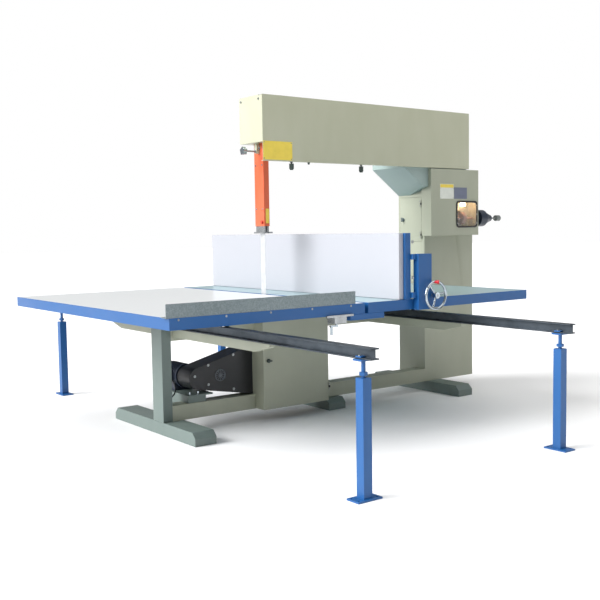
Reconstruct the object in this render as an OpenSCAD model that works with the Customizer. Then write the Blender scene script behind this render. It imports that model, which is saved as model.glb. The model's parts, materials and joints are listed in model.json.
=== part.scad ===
// Vertical band-knife saw for foam blocks and panels, with a rolling table and a geared fence.
// Millimetres, +Z up. In the modules x runs along the upper beam from its free end, y runs back
// from the front cover, and z is the height above the floor. placed() then moves every piece so
// that the origin is the middle of the footprint, on the floor.

/* [Frame] */
// Height of the top of the upper beam above the floor
beam_top = 2450; // [2350:10:2950]
// Height of the upper beam's box
beam_h = 346; // [340:2:420]
// Depth of the upper beam, front to back
beam_d = 306; // [290:2:370]
// Sheet thickness of the upper beam
beam_wall = 5; // [4:0.5:8]
// How far the front cover hangs below the beam's box
cover_drop = 140; // [120:5:170]
// Clear distance from the blade to the column
throat = 1691; // [1400:10:2040]
// Width of the column, left to right
column_w = 615; // [560:5:740]
// Depth of the column, front to back
column_d = 322; // [300:2:390]
// How far the column's front is set back from the beam's cover
column_setback = 118; // [110:2:130]
// Wall thickness of the column
column_wall = 8; // [6:1:12]
// Height of the box that joins the beam to the column
root_h = 144; // [124:2:180]
// Height and depth of the diagonal brace under the beam
brace_h = 222; // [180:2:270]
// Length of the diagonal brace, out from the column
brace_l = 312; // [250:2:380]
// Distance from the blade to the outer side of the end post
stand_reach = 914; // [800:2:1100]
// Width of the end post
stand_w = 75; // [62:1:90]
// Depth of the end post
stand_d = 152; // [130:2:180]
// Height of the base beam
base_beam_h = 112; // [94:2:134]
// Depth of the base beam
base_beam_d = 122; // [102:2:146]
// Height of the cross beam under the rails
cross_beam_h = 89; // [74:1:106]
// Depth of the cross beam under the rails
cross_beam_d = 82; // [68:2:98]
// Wall thickness of the posts and beams
tube_wall = 5; // [4:0.5:7]

/* [Feet] */
// Height of the floor feet
foot_h = 93; // [78:1:111]
// Width of the floor feet
foot_w = 170; // [142:2:204]
// How far a long foot reaches in front of the cover
foot_front = 320; // [270:5:380]
// How far a long foot reaches behind the cover
foot_back = 900; // [750:5:1080]
// Bevel on the foot's ends
foot_bevel = 40; // [30:1:50]

/* [Blade and band wheels] */
// Radius of the band wheels
wheel_r = 200; // [168:2:240]
// Width of a band wheel's rim
wheel_w = 56; // [47:1:58]
// Thickness of a band wheel's rim
rim_t = 18; // [15:1:22]
// Width of the band knife
blade_w = 60; // [58:1:72]
// Thickness of the band knife
blade_t = 1; // [0.8:0.1:1.2]
// Distance from the beam's free end to the blade
blade_inset = 94; // [86:1:112]
// Set-back of the cutting edge from the cover
blade_y = 130; // [129:1:132]
// Radius of the axles and the drive shaft
axle_r = 15; // [12.5:0.5:18]
// Radius of a wheel's hub
hub_r = 36; // [30:1:43]

/* [Drive] */
// Distance from the blade to the motor shaft
motor_reach = 594; // [540:2:640]
// Height of the motor shaft
motor_z = 372; // [350:1:400]
// Radius of the motor's body
motor_r = 90; // [75:1:98]
// Length of the motor's body
motor_l = 250; // [210:5:300]
// Radius of the motor pulley
motor_pulley_r = 50; // [42:1:60]
// Radius of the driven pulley
driven_pulley_r = 168; // [140:1:175]
// Width of the belt and the pulleys
belt_w = 34; // [28:1:38]
// Thickness of the belt
belt_t = 8; // [6:0.5:10]
// Radius of the belt guard's round end
belt_guard_r = 83; // [78:1:90]
// Height of the belt guard where it meets the cabinet
belt_guard_h = 373; // [366:1:400]
// Depth of the belt guard
belt_guard_d = 180; // [170:2:200]

/* [Lower cabinet] */
// Distance from the blade to the cabinet's left side
cabinet_side = 124; // [110:2:148]
// Depth of the cabinet
cabinet_d = 330; // [324:2:396]
// Sheet thickness of covers, cabinets and guards
sheet_t = 3; // [2:0.5:4]

/* [Rails and posts] */
// Height of the rails
rail_h = 63; // [53:1:75]
// Width of the rails
rail_w = 60; // [50:1:72]
// Length of the rails
rail_l = 4300; // [3600:20:5160]
// How far the rails reach in front of the cover
rail_front = 2010; // [1700:10:2400]
// Distance from the blade to the left rail
rail_left = 804; // [740:2:850]
// Distance from the blade to the right rail
rail_right = 876; // [740:2:1050]
// Width of the square posts
post_w = 60; // [50:1:72]
// Gap between a post's cap and the rail, which the jack spans
jack_gap = 102; // [86:2:122]
// Length of a post's base plate
base_plate_l = 170; // [142:2:204]
// Width of a post's base plate
base_plate_w = 100; // [84:2:120]
// Radius of the anchor holes
anchor_r = 7; // [6:0.5:8]

/* [Table] */
// Height of the table's surface
table_z = 960; // [820:5:1150]
// Length of the table, front to back
table_l = 2440; // [2040:10:2920]
// How far the table reaches in front of the cover
table_front = 1030; // [880:10:1230]
// Width of the table's left half, measured from the blade
table_left = 1474; // [1230:2:1760]
// Width of the slot that the blade runs in
slot_w = 30; // [25:1:36]
// Height of the table's rim
rim_h = 70; // [60:1:84]
// Width of the table's rim
rim_w = 40; // [34:1:48]
// Thickness of the table boards
board_t = 20; // [17:1:24]
// Radius of the table's rollers
roller_r = 25; // [21:0.5:28]
// Distance between the front and rear rollers
roller_span = 1500; // [1250:10:1800]
// Height of the stop angle
stop_h = 82; // [68:1:98]
// Length of the stop angle
stop_l = 1400; // [1160:10:1480]

/* [Fence] */
// Distance from the blade to the fence's face, as stored
fence_gap = 306; // [256:2:330]
// Height of the fence's top above the table
fence_h = 455; // [380:5:520]
// Thickness of the fence panel
fence_t = 40; // [34:1:48]
// Radius of the handwheel, to the outside of its rim
handwheel_r = 104; // [88:1:120]
// Radius of the handwheel's rim section
handwheel_rim = 9; // [8:0.5:11]
// Tooth module of the rack and pinion
gear_m = 3; // [2.5:0.25:3.5]
// Number of pinion teeth
pinion_teeth = 17; // [17:1:20]

/* [Blade guard] */
// Width of the blade guard, left to right
guard_w = 50; // [46:1:60]
// Depth of the blade guard, front to back
guard_d = 120; // [110:2:136]
// Gap between the fence's top and the guard's foot
guard_clear = 10; // [8:1:14]

/* [Sharpener] */
// Width of the sharpener housing
housing_w = 598; // [560:2:640]
// Height of the sharpener housing
housing_h = 577; // [540:1:690]
// Width of the window, over its frame
window_w = 275; // [230:5:300]
// Height of the window, over its frame
window_h = 237; // [200:1:284]
// Radius of the grinding discs
disc_r = 55; // [53:0.5:58]

/* [Hidden] */
$fn = 48;
e = 1;
run_fit = 0.05;
seat_fit = 0.02;
air = 0.4;
slide_gap = 2;

column_x = blade_inset + throat;
column_x1 = column_x + column_w;
column_y = column_setback;
column_y1 = column_y + column_d;
blade_y1 = blade_y + blade_w;
wheel_y = blade_y + (blade_w - wheel_w) / 2;
wheel_y1 = wheel_y + wheel_w;
band_in_r = wheel_r + air;
band_out_r = band_in_r + blade_t;
wheel_side_gap = 7;
wheel_x_left = blade_inset + band_out_r;
wheel_x_right = column_x + column_wall + wheel_side_gap + wheel_r;
wheel_z_low = foot_h + base_beam_h / 2 + wheel_r;
// Room between a band wheel and the end of its housing
wheel_room = 50;
wheel_z_high = beam_top - wheel_room - wheel_r;
beam_end_gap = 25;
beam_l = wheel_x_right + band_out_r + beam_end_gap;
beam_bottom = beam_top - beam_h;
cover_bottom = beam_bottom - cover_drop;
column_top = beam_bottom - root_h;
root_x = column_x - brace_l;
lip_d = 32;
root_y = lip_d + 3;
slot_edge = 12;

base_beam_y1 = column_y + base_beam_d;
base_beam_top = foot_h + base_beam_h;
stand_x = blade_inset - stand_reach;
bridge_h = 40;
roller_space = 65;
rim_z = table_z - rim_h;
cross_top = rim_z - roller_space - rail_h;
rail_top = cross_top + rail_h;
cabinet_z = foot_h + 3;
cabinet_top = rim_z - bridge_h - 10;
cabinet_x = blade_inset - cabinet_side;
cabinet_past = 97;
cabinet_x1 = wheel_x_left + wheel_r + cabinet_past;
rail_left_x = blade_inset - rail_left;
rail_right_x = blade_inset + rail_right;
rail_xs = [rail_left_x, rail_right_x];
rail_y1 = rail_l - rail_front;
bearer_drop = 62;
bearer_front = 1080;
bearer_back = 1100;

motor_x = blade_inset - motor_reach;
belt_y = blade_y1 + 70;
belt_mid = belt_y + belt_w / 2;
guard_shift = 37;
guard_y = belt_mid - belt_guard_d / 2 - guard_shift;
guard_y1 = guard_y + belt_guard_d;
edge_room = 15;
motor_y = guard_y1 + edge_room;
platform_z = motor_z - motor_r - 20;

post_ys = [-rail_front + 95, rail_y1 - 100];
post_top = cross_top - jack_gap;
jack_r = 12;

roller_z = rail_top + 0.3 + roller_r;
table_mid = table_l / 2 - table_front;
roller_ys = [table_mid - roller_span / 2, table_mid + roller_span / 2];
table_y1 = table_l - table_front;
slot_x = blade_inset - 14;
slot_x1 = slot_x + slot_w;
table_x = blade_inset - table_left;
table_stop = 45;
table_x1 = column_x - table_stop;
bridge_reach = 140;

fence_x = blade_inset + blade_t + fence_gap;
fence_x1 = fence_x + fence_t;
fence_top = table_z + fence_h;
fence_y = -table_front + 10;
fence_y1 = table_y1 - 10;
bar_w = 50;
gate_x = fence_x1 + bar_w + 32;
gate_w = 126;
pinion_r = gear_m * pinion_teeth / 2;
pitch_z = table_z - gear_m;
shaft_x = gate_x + gate_w + 5;
shaft_z = pitch_z + pinion_r;
shaft_r = 10;
rack_w = 16;
rack_drop = board_t - gear_m;
pinion_y = -table_front + 10;
rear_pinion_y = table_y1 - 10 - rack_w;
handwheel_y = -table_front - 90;
knob_angle = 100;
knob_r = handwheel_r - handwheel_rim;
knob_x = shaft_x + knob_r * cos(knob_angle);
knob_z = shaft_z + knob_r * sin(knob_angle);
lock_x = blade_inset - 234;
lock_y = -table_front + 30;

guard_x = blade_inset - guard_w / 2 + 1;
guard_y0 = blade_y + blade_w / 2 - guard_d / 2;
guard_y9 = guard_y0 + guard_d;
guard_foot_z = fence_top + guard_clear;
guard_z = guard_foot_z + 55;
guard_top = beam_bottom + 26;
guard_wall = 4;
thrust_r = 12;
thrust_y = blade_y1 + air + thrust_r;
thrust_z = guard_foot_z + 35;
clamp_z = beam_bottom - 61;
clamp_y = blade_y + blade_w / 2;

housing_x = column_x - 33;
housing_x1 = housing_x + housing_w;
housing_z1 = column_top - 3;
housing_z = housing_z1 - housing_h;
window_x1 = housing_x1 - edge_room;
window_x = window_x1 - window_w;
window_z = housing_z + 67;
window_z1 = window_z + window_h;
disc_z = housing_z + 150;
disc_y = blade_y + 3 - disc_r;
disc_gap = 2.6;
disc_t = 12;
blade_right_x = wheel_x_right + band_in_r;

cover_hinge_y = 40;
hinge_r = 4;
knuckle_r = 7.5;
hinge_l = 60;
cover_hinge_xs = [beam_l * 0.09, beam_l / 2, beam_l * 0.91];
latch_xs = [beam_l * 0.123, beam_l * 0.437];
latch_y = 18;
latch_r = 6;
latch_knob_r = 18;
latch_neck = 14;
latch_drop = 62;
latch_taper = 12;
door_gap = 1.5;
cabinet_hinge_x = cabinet_x1 + 10;
cabinet_hinge_zs = [cabinet_z + 110, cabinet_top - 110];
latch_inset = 45;
cabinet_latch_x = cabinet_x + latch_inset;
cabinet_latch_z = (cabinet_z + cabinet_top) / 2;
side_door_y = column_y + 34;
side_door_y1 = column_y1 - edge_room;
side_door_z1 = column_top - brace_h - 18;
side_door_z = side_door_z1 - 390;
side_hinge_x = column_x - 9;
side_hinge_y = side_door_y - 3;
side_hinge_zs = [side_door_z + hinge_l, side_door_z1 - hinge_l];
side_lock_y = side_door_y1 - latch_inset;
side_lock_z = (side_door_z + side_door_z1) / 2;

cable_r = 5;
gland_r = 11;
gland_at = [-725, 200, 255];
// Corners of the motor's terminal box, up to the motor's axis
terminal_low = [-640, 400, 335];
terminal_high = [motor_x, 470, 415];
// The lead's route from the motor's terminal box to the gland on the end post
cable_points = [
    [-612, 400, 350], [-612, 372, 349], [-613, 340, 340], [-617, 310, 320], [-628, 280, 298],
    [-646, 252, 280], [-670, 226, 266], [-697, 206, 257], gland_at
];

middle = [(machine_left() + machine_right()) / 2, (rail_y1 - rail_front) / 2, 0];
function machine_left() = blade_inset - table_left - 20;
function machine_right() = column_x1 + 320;

// Moves a piece so that the middle of the footprint is the origin.
module placed() translate(-middle) children();

// A box from its low corner to its high corner.
module block(a, b) translate(a) cube(b - a);

// A box with walls of thickness t and closed ends, open along one axis where open says so.
module box_shell(a, b, t, open = [0, 0, 0]) difference() {
    block(a, b);
    block([for (i = [0:2]) a[i] + (open[i] ? -e : t)], [for (i = [0:2]) b[i] + (open[i] ? e : -t)]);
}

// Round bars along each axis, between two places on that axis.
module rod_x(x0, x1, y, z, r) translate([x0, y, z]) rotate([0, 90, 0]) cylinder(h = x1 - x0, r = r);
module rod_y(y0, y1, x, z, r) translate([x, y0, z]) rotate([-90, 0, 0]) cylinder(h = y1 - y0, r = r);
module rod_z(z0, z1, x, y, r) translate([x, y, z0]) cylinder(h = z1 - z0, r = r);

// An outline drawn in x and z, carried from y0 to y1.
module across_y(y0, y1) translate([0, y1, 0]) rotate([90, 0, 0]) linear_extrude(y1 - y0) children();

// An outline drawn in y and z, carried from x0 to x1.
module across_x(x0, x1) translate([x0, 0, 0]) rotate([90, 0, 90]) linear_extrude(x1 - x0) children();

// Points along an arc about c, from angle a0 to a1.
function arc(c, r, a0, a1, steps = 36) =
    [for (i = [0:steps]) let(a = a0 + (a1 - a0) * i / steps) c + r * [cos(a), sin(a)]];

// The outline of a band around two circles, c0 with radius r0 and c1 with radius r1.
module band_outline(c0, r0, c1, r1) {
    a = atan2(c1.y - c0.y, c1.x - c0.x);
    b = acos((r0 - r1) / norm(c1 - c0));
    polygon(concat(arc(c0, r0, a + b, a - b + 360), arc(c1, r1, a - b, a + b)));
}

// Frame -----------------------------------------------------------------------------------

module base_beam() color("darkkhaki") placed() difference() {
    union() {
        box_shell([stand_x + stand_w, column_y, foot_h], [column_x, base_beam_y1, base_beam_top],
            tube_wall, [1, 0, 0]);
        // Pedestal bearing of the drive shaft, standing on the beam
        block([wheel_x_left - 60, blade_y1 + 8, base_beam_top - tube_wall],
            [wheel_x_left + 60, base_beam_y1 - 2, wheel_z_low]);
        rod_y(blade_y1 + 8, base_beam_y1 - 2, wheel_x_left, wheel_z_low, 60);
    }
    rod_y(blade_y1, base_beam_y1 + e, wheel_x_left, wheel_z_low, axle_r + run_fit);
    block([wheel_x_left - wheel_r - 35, column_y + tube_wall, base_beam_top - tube_wall - e],
        [wheel_x_left + wheel_r + 45, blade_y1 + 6, base_beam_top + e]);
}

module end_post() color("lightsteelblue") placed() union() {
    box_shell([stand_x, column_y, foot_h], [stand_x + stand_w, column_y + stand_d, cross_top],
        tube_wall);
    // Cable gland, facing the motor
    rod_x(stand_x + stand_w, gland_at[0], gland_at[1], gland_at[2], gland_r);
}

module cross_beam() color("darkkhaki") placed() {
    for (span = [[stand_x + stand_w, cabinet_x], [cabinet_x1, column_x]])
        box_shell([span[0], column_y, cross_top - cross_beam_h],
            [span[1], column_y + cross_beam_d, cross_top], tube_wall);
    for (x = rail_xs) {
        bearer(x, -bearer_front, column_y);
        bearer(x, column_y + cross_beam_d, bearer_back);
    }
}

// A bearer arm under a rail, from y0 to y1, tapered towards its free end.
module bearer(x, y0, y1) {
    free_front = y0 < 0;
    low = cross_top - bearer_drop;
    across_x(x - 22, x + 22) polygon(free_front
        ? [[y0, cross_top], [y0, cross_top - 20], [y0 + 160, low], [y1, low], [y1, cross_top]]
        : [[y1, cross_top], [y1, cross_top - 20], [y1 - 160, low], [y0, low], [y0, cross_top]]);
}

// A foot from y0 to y1, hollow below, with bevelled ends.
module foot(x, y0, y1) difference() {
    across_x(x, x + foot_w) polygon([
        [y0, 0], [y0, foot_h - foot_bevel], [y0 + foot_bevel, foot_h],
        [y1 - foot_bevel, foot_h], [y1, foot_h - foot_bevel], [y1, 0]
    ]);
    block([x + 6, y0 + 6, -e], [x + foot_w - 6, y1 - 6, foot_h - foot_bevel - 6]);
}

module floor_feet() color("lightslategray") placed() {
    foot(stand_x, -foot_front, foot_back);
    foot(cabinet_x1 + 30, 30, foot_back - 250);
    foot(column_x + 35, -foot_front + 70, foot_back - 50);
}

module column() color("darkkhaki") placed() difference() {
    box_shell([column_x, column_y, foot_h], [column_x1, column_y1, column_top], column_wall,
        [0, 0, 1]);
    // Where the base beam carries the blade in
    block([column_x - e, column_y + tube_wall, foot_h + tube_wall],
        [column_x + column_wall + e, base_beam_y1 - tube_wall, base_beam_top - tube_wall]);
    // Where the grinding discs reach the cutting edge
    block([blade_right_x - 40, column_y - e, disc_z - disc_r - 12],
        [blade_right_x + 40, column_y + column_wall + e, disc_z + disc_r + 12]);
    // Opening behind the side door
    block([column_x - e, side_door_y, side_door_z],
        [column_x + column_wall + e, side_door_y1, side_door_z1]);
}

module beam_box() color("darkseagreen") placed() difference() {
    union() {
        block([0, beam_d - beam_wall, beam_bottom], [beam_l, beam_d, beam_top]);
        block([0, cover_hinge_y + 10, beam_top - beam_wall], [beam_l, beam_d, beam_top]);
        block([0, sheet_t + 1, beam_bottom], [beam_l, beam_d, beam_bottom + beam_wall]);
        for (x = [0, beam_l - beam_wall]) {
            block([x, sheet_t + 1, beam_bottom], [x + beam_wall, beam_d, beam_top - 6]);
            block([x, cover_hinge_y + 10, beam_bottom], [x + beam_wall, beam_d, beam_top]);
        }
        // Clamp boss of the blade guard
        rod_x(guard_x - 26, guard_x - 1.5, clamp_y, clamp_z, 17);
        block([guard_x - 26, clamp_y - 15, clamp_z], [guard_x - 1.5, clamp_y + 15, beam_bottom + 1]);
    }
    rod_x(guard_x - 30, guard_x, clamp_y, clamp_z, latch_r + run_fit);
    // Slots for the guard and the band wheels
    block([guard_x - 10, guard_y0 - 10, beam_bottom - 0.5],
        [guard_x + guard_w + 10, guard_y9 + 10, beam_bottom + beam_wall + e]);
    block([wheel_x_left - wheel_r - 5, wheel_y - slot_edge, beam_bottom - 0.5],
        [wheel_x_left + wheel_r, wheel_y1 + slot_edge, beam_bottom + beam_wall + e]);
    block([wheel_x_right - wheel_r, wheel_y - slot_edge, beam_bottom - 0.5],
        [blade_right_x + slot_edge, wheel_y1 + slot_edge, beam_bottom + beam_wall + e]);
}

module beam_root() color("darkseagreen") placed() {
    // Box between the beam and the column
    difference() {
        union() {
            box_shell([root_x, root_y, column_top], [beam_l, column_y1, beam_bottom], beam_wall);
            box_shell([root_x, beam_d, beam_bottom], [beam_l, column_y1, beam_top - 60],
                beam_wall);
            brace();
        }
        block([column_x + column_wall, column_y + column_wall, column_top - e],
            [beam_l - beam_wall, column_y1 - column_wall, beam_bottom - beam_wall]);
        block([column_x + column_wall, wheel_y - slot_edge, column_top - e],
            [blade_right_x + slot_edge, wheel_y1 + slot_edge, beam_bottom + e]);
        block([root_x + beam_wall, beam_d - e, beam_bottom - beam_wall - e],
            [beam_l - beam_wall, column_y1 - beam_wall, beam_bottom + beam_wall + e]);
    }
}

// Diagonal brace: a hollow wedge whose front part slopes up to the cover.
module brace() difference() {
    brace_wedge(root_y, column_y1, 0);
    brace_wedge(root_y + beam_wall, column_y1 - beam_wall, beam_wall);
    block([housing_x, 0, housing_z], [column_x + e, column_y, housing_z1]);
}

module brace_wedge(y0, y1, inset) {
    z1 = column_top + 1 - inset;
    x0 = root_x + 2 * inset;
    x1 = column_x - inset;
    low = column_top - brace_h + 2 * inset;
    intersection() {
        across_y(y0, y1) polygon([[x0, z1], [x1, low], [x1, z1]]);
        across_x(x0, x1 + e) polygon([
            [y0, z1], [y0, low + 68], [y0 + 260, low], [y1, low], [y1, z1]
        ]);
    }
}

// Rails and posts -------------------------------------------------------------------------

module rails() color("slategray") placed() for (x = rail_xs)
    across_y(-rail_front, rail_y1) translate([x, cross_top]) i_section(rail_w, rail_h);

module i_section(w, h) {
    flange = 8;
    translate([-w / 2, 0]) square([w, flange]);
    translate([-w / 2, h - flange]) square([w, flange]);
    translate([-4, 0]) square([8, h]);
}

module support_posts() color("royalblue") placed() for (i = [0, 1], j = [0, 1]) {
    turned = i == 0 && j == 0 ? 0 : 90;
    translate([rail_xs[i], post_ys[j], 0]) rotate([0, 0, turned]) post();
}

module post() {
    h = post_w / 2;
    difference() {
        union() {
            block([-base_plate_l / 2, -base_plate_w / 2, 0],
                [base_plate_l / 2, base_plate_w / 2, 10]);
            box_shell([-h, -h, 9], [h, h, post_top], 4);
        }
        for (x = [-1, 1], y = [-1, 1]) rod_z(-e, 11, x * (base_plate_l / 2 - 20),
            y * (base_plate_w / 2 - 20), anchor_r);
        rod_z(post_top - 10, post_top + e, 0, 0, jack_r + run_fit);
    }
}

module post_jacks() color("royalblue") placed() for (x = rail_xs, y = post_ys)
    translate([x, y, 0]) {
        rod_z(post_top - 20, cross_top - 9, 0, 0, jack_r);
        translate([0, 0, post_top + 12]) cylinder(h = 18, r = 24, $fn = 6);
        block([-rail_w / 2 - 14, -35, cross_top - 10], [rail_w / 2 + 14, 35, cross_top]);
    }

// Blade, wheels and drive -----------------------------------------------------------------

// A rounded rectangle around the four wheel centres, in x and z.
module loop_outline(r) {
    for (x = [wheel_x_left, wheel_x_right], z = [wheel_z_low, wheel_z_high])
        translate([x, z]) circle(r, $fn = 96);
    translate([wheel_x_left - r, wheel_z_low])
        square([wheel_x_right - wheel_x_left + 2 * r, wheel_z_high - wheel_z_low]);
    translate([wheel_x_left, wheel_z_low - r])
        square([wheel_x_right - wheel_x_left, wheel_z_high - wheel_z_low + 2 * r]);
}

module blade() color("silver") placed() across_y(blade_y, blade_y1) difference() {
    loop_outline(band_out_r);
    loop_outline(band_in_r);
}

// A band wheel with a rim, a web with five holes, and a hub bored to bore_r.
module band_wheel(x, z, bore_r) placed() difference() {
    union() {
        difference() {
            rod_y(wheel_y, wheel_y1, x, z, wheel_r);
            rod_y(wheel_y - e, wheel_y1 + e, x, z, wheel_r - rim_t);
        }
        difference() {
            rod_y(wheel_y + 20, wheel_y1 - 20, x, z, wheel_r - rim_t + 1);
            for (a = [0:72:288]) rod_y(wheel_y, wheel_y1, x + (wheel_r / 2 + 8) * cos(a),
                z + (wheel_r / 2 + 8) * sin(a), wheel_r / 5);
        }
        rod_y(wheel_y, wheel_y1, x, z, hub_r);
    }
    rod_y(wheel_y - e, wheel_y1 + e, x, z, bore_r);
}

module wheel_upper_left() color("gray")
    band_wheel(wheel_x_left, wheel_z_high, axle_r + run_fit);
module wheel_upper_right() color("gray")
    band_wheel(wheel_x_right, wheel_z_high, axle_r + run_fit);
module wheel_lower_right() color("gray")
    band_wheel(wheel_x_right, wheel_z_low, axle_r + run_fit);
module drive_wheel() color("gray")
    band_wheel(wheel_x_left, wheel_z_low, axle_r + seat_fit);

// A fixed axle: a boss on the wall at y1, the bearing length, and a retaining washer.
module axle(x, z, y1) {
    rod_y(wheel_y1 + 6, y1, x, z, 40);
    rod_y(wheel_y - 4, y1, x, z, axle_r);
    rod_y(wheel_y - 4, wheel_y - 1, x, z, axle_r + 8);
}

module wheel_axles() color("darkgray") placed() {
    axle(wheel_x_left, wheel_z_high, beam_d - beam_wall);
    axle(wheel_x_right, wheel_z_high, beam_d - beam_wall);
    axle(wheel_x_right, wheel_z_low, column_y1 - column_wall);
}

module drive_shaft() color("darkgray") placed() {
    rod_y(wheel_y - 4, belt_y + belt_w + 8, wheel_x_left, wheel_z_low, axle_r);
    rod_y(wheel_y - 8, wheel_y - 1, wheel_x_left, wheel_z_low, axle_r + 8);
    // Driven pulley, turned in one piece with its hub
    difference() {
        rod_y(belt_y, belt_y + belt_w, wheel_x_left, wheel_z_low, driven_pulley_r);
        for (a = [0:60:300]) rod_y(belt_y - e, belt_y + belt_w + e,
            wheel_x_left + driven_pulley_r * 0.6 * cos(a),
            wheel_z_low + driven_pulley_r * 0.6 * sin(a), driven_pulley_r / 5);
    }
}

module motor_pulley() color("dimgray") placed() {
    rod_y(belt_y, belt_y + belt_w, motor_x, motor_z, motor_pulley_r);
    rod_y(belt_y + belt_w, motor_y + 18, motor_x, motor_z, 14);
}

module drive_belt() color("black") placed() across_y(belt_y + 2, belt_y + belt_w - 2) {
    c0 = [motor_x, motor_z];
    c1 = [wheel_x_left, wheel_z_low];
    difference() {
        band_outline(c0, motor_pulley_r + air + belt_t, c1, driven_pulley_r + air + belt_t);
        band_outline(c0, motor_pulley_r + air, c1, driven_pulley_r + air);
    }
}

module drive_motor() color("dimgray") placed() {
    difference() {
        union() {
            rod_y(motor_y, motor_y + motor_l, motor_x, motor_z, motor_r - 8);
            for (i = [0:9])
                rod_y(motor_y + 20 + i * 20, motor_y + 28 + i * 20, motor_x, motor_z, motor_r);
            rod_y(motor_y - 4, motor_y + 12, motor_x, motor_z, motor_r);
            block([motor_x - 75, motor_y + 40, platform_z], [motor_x + 75, motor_y + 200,
                motor_z - motor_r / 2]);
            block(terminal_low, terminal_high);
        }
        rod_y(motor_y - 5, motor_y + 20, motor_x, motor_z, 14 + run_fit);
    }
}

module motor_platform() color("slategray") placed() {
    block([motor_x - 110, column_y + 10, base_beam_top], [motor_x + 40, base_beam_y1,
        platform_z]);
    block([motor_x - 110, column_y + 10, platform_z - 12], [motor_x + 100,
        motor_y + motor_l - 10, platform_z]);
    for (x = [motor_x - 110, motor_x + 90]) across_x(x, x + 10) polygon([
        [base_beam_y1, foot_h + 10], [base_beam_y1 + 30, foot_h + 10],
        [motor_y + motor_l - 20, platform_z - 11], [base_beam_y1, platform_z - 11]
    ]);
}

module motor_cable() color("black") placed() swept_tube(cable_points, cable_r);

// A tube of radius r with eight sides, swept along points that lie in smooth order.
module swept_tube(points, r) {
    sides = 8;
    n = len(points);
    function along(i) = points[min(i + 1, n - 1)] - points[max(i - 1, 0)];
    function side(v) = cross(v / norm(v), [0, 0, 1]) / norm(cross(v / norm(v), [0, 0, 1]));
    ring = [for (i = [0:n - 1], k = [0:sides - 1])
        let(v = along(i) / norm(along(i)), s = side(v), u = cross(s, v), a = 360 * k / sides)
        points[i] + r * (cos(a) * s + sin(a) * u)];
    polyhedron(points = ring, faces = concat(
        [[for (k = [0:sides - 1]) k]],
        [for (i = [0:n - 2], k = [0:sides - 1])
            let(a = i * sides + k, b = i * sides + (k + 1) % sides)
            [b, a, a + sides, b + sides]],
        [[for (k = [sides - 1:-1:0]) (n - 1) * sides + k]]
    ));
}

module belt_guard() color("black") placed() difference() {
    across_y(guard_y, guard_y1) guard_outline(0);
    across_y(guard_y + sheet_t, guard_y1 - sheet_t) guard_outline(sheet_t);
    rod_y(guard_y1 - sheet_t - e, guard_y1 + e, motor_x, motor_z, 30);
}

// The belt guard's outline: round at the motor, spreading towards the cabinet.
module guard_outline(inset) {
    r = belt_guard_r - inset;
    x1 = cabinet_x + (inset > 0 ? e : 0);
    z0 = base_beam_top + inset;
    z1 = base_beam_top + belt_guard_h - inset;
    translate([motor_x, motor_z]) circle(r);
    polygon([[motor_x - r * 0.17, motor_z - r * 0.985], [x1, z0], [x1, z1],
        [motor_x - r * 0.25, motor_z + r * 0.968]]);
}

// Lower cabinet ---------------------------------------------------------------------------

module cabinet_shell() color("darkkhaki") placed() difference() {
    block([cabinet_x, sheet_t + 1, cabinet_z], [cabinet_x1, cabinet_d, cabinet_top]);
    block([cabinet_x + sheet_t, 0, cabinet_z - e],
        [cabinet_x1 - sheet_t, cabinet_d - sheet_t, cabinet_top - sheet_t]);
    block([cabinet_x - e, column_y, foot_h - e], [cabinet_x1 + e, base_beam_y1, base_beam_top]);
    block([cabinet_x - e, guard_y + sheet_t, base_beam_top + 15],
        [cabinet_x + sheet_t + e, guard_y1 - sheet_t, base_beam_top + belt_guard_h - 10]);
    block([blade_inset - 30, blade_y - 30, cabinet_top - sheet_t - e],
        [blade_inset + 30, blade_y1 + 30, cabinet_top + e]);
}

// Two hinge sleeves around an upright pin, with a gap for the fixed knuckle between them.
module sleeves(x, y, z, r) {
    rod_z(z - hinge_l / 2, z - 10, x, y, r);
    rod_z(z + 10, z + hinge_l / 2, x, y, r);
}

module cabinet_door() color("darkkhaki") placed() difference() {
    union() {
        block([cabinet_x, 0, cabinet_z], [cabinet_x1, sheet_t, cabinet_top]);
        for (z = cabinet_hinge_zs) {
            sleeves(cabinet_hinge_x, 0, z, knuckle_r);
            for (z0 = [z - hinge_l / 2, z + 10])
                block([cabinet_x1 - 1, 0, z0], [cabinet_hinge_x, sheet_t, z0 + 20]);
        }
    }
    for (z = cabinet_hinge_zs)
        rod_z(z - hinge_l, z + hinge_l, cabinet_hinge_x, 0, hinge_r + run_fit);
    rod_y(-e, sheet_t + e, cabinet_latch_x, cabinet_latch_z, latch_r + run_fit);
}

// A quarter-turn latch through a sheet whose outer face is at the origin, with +z inwards.
module quarter_latch(sheet, cam) {
    rod_z(-20, sheet + 6, 0, 0, latch_r);
    rod_z(-8, -0.5, 0, 0, 16);
    block([-19, -5, -26], [19, 5, -12]);
    block([-6, -6, sheet + 1], [cam, 6, sheet + 5]);
}

module cabinet_latch() color("dimgray") placed()
    translate([cabinet_latch_x, 0, cabinet_latch_z]) rotate([-90, 0, 0])
        mirror([1, 0, 0]) quarter_latch(sheet_t, 36);

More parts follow.
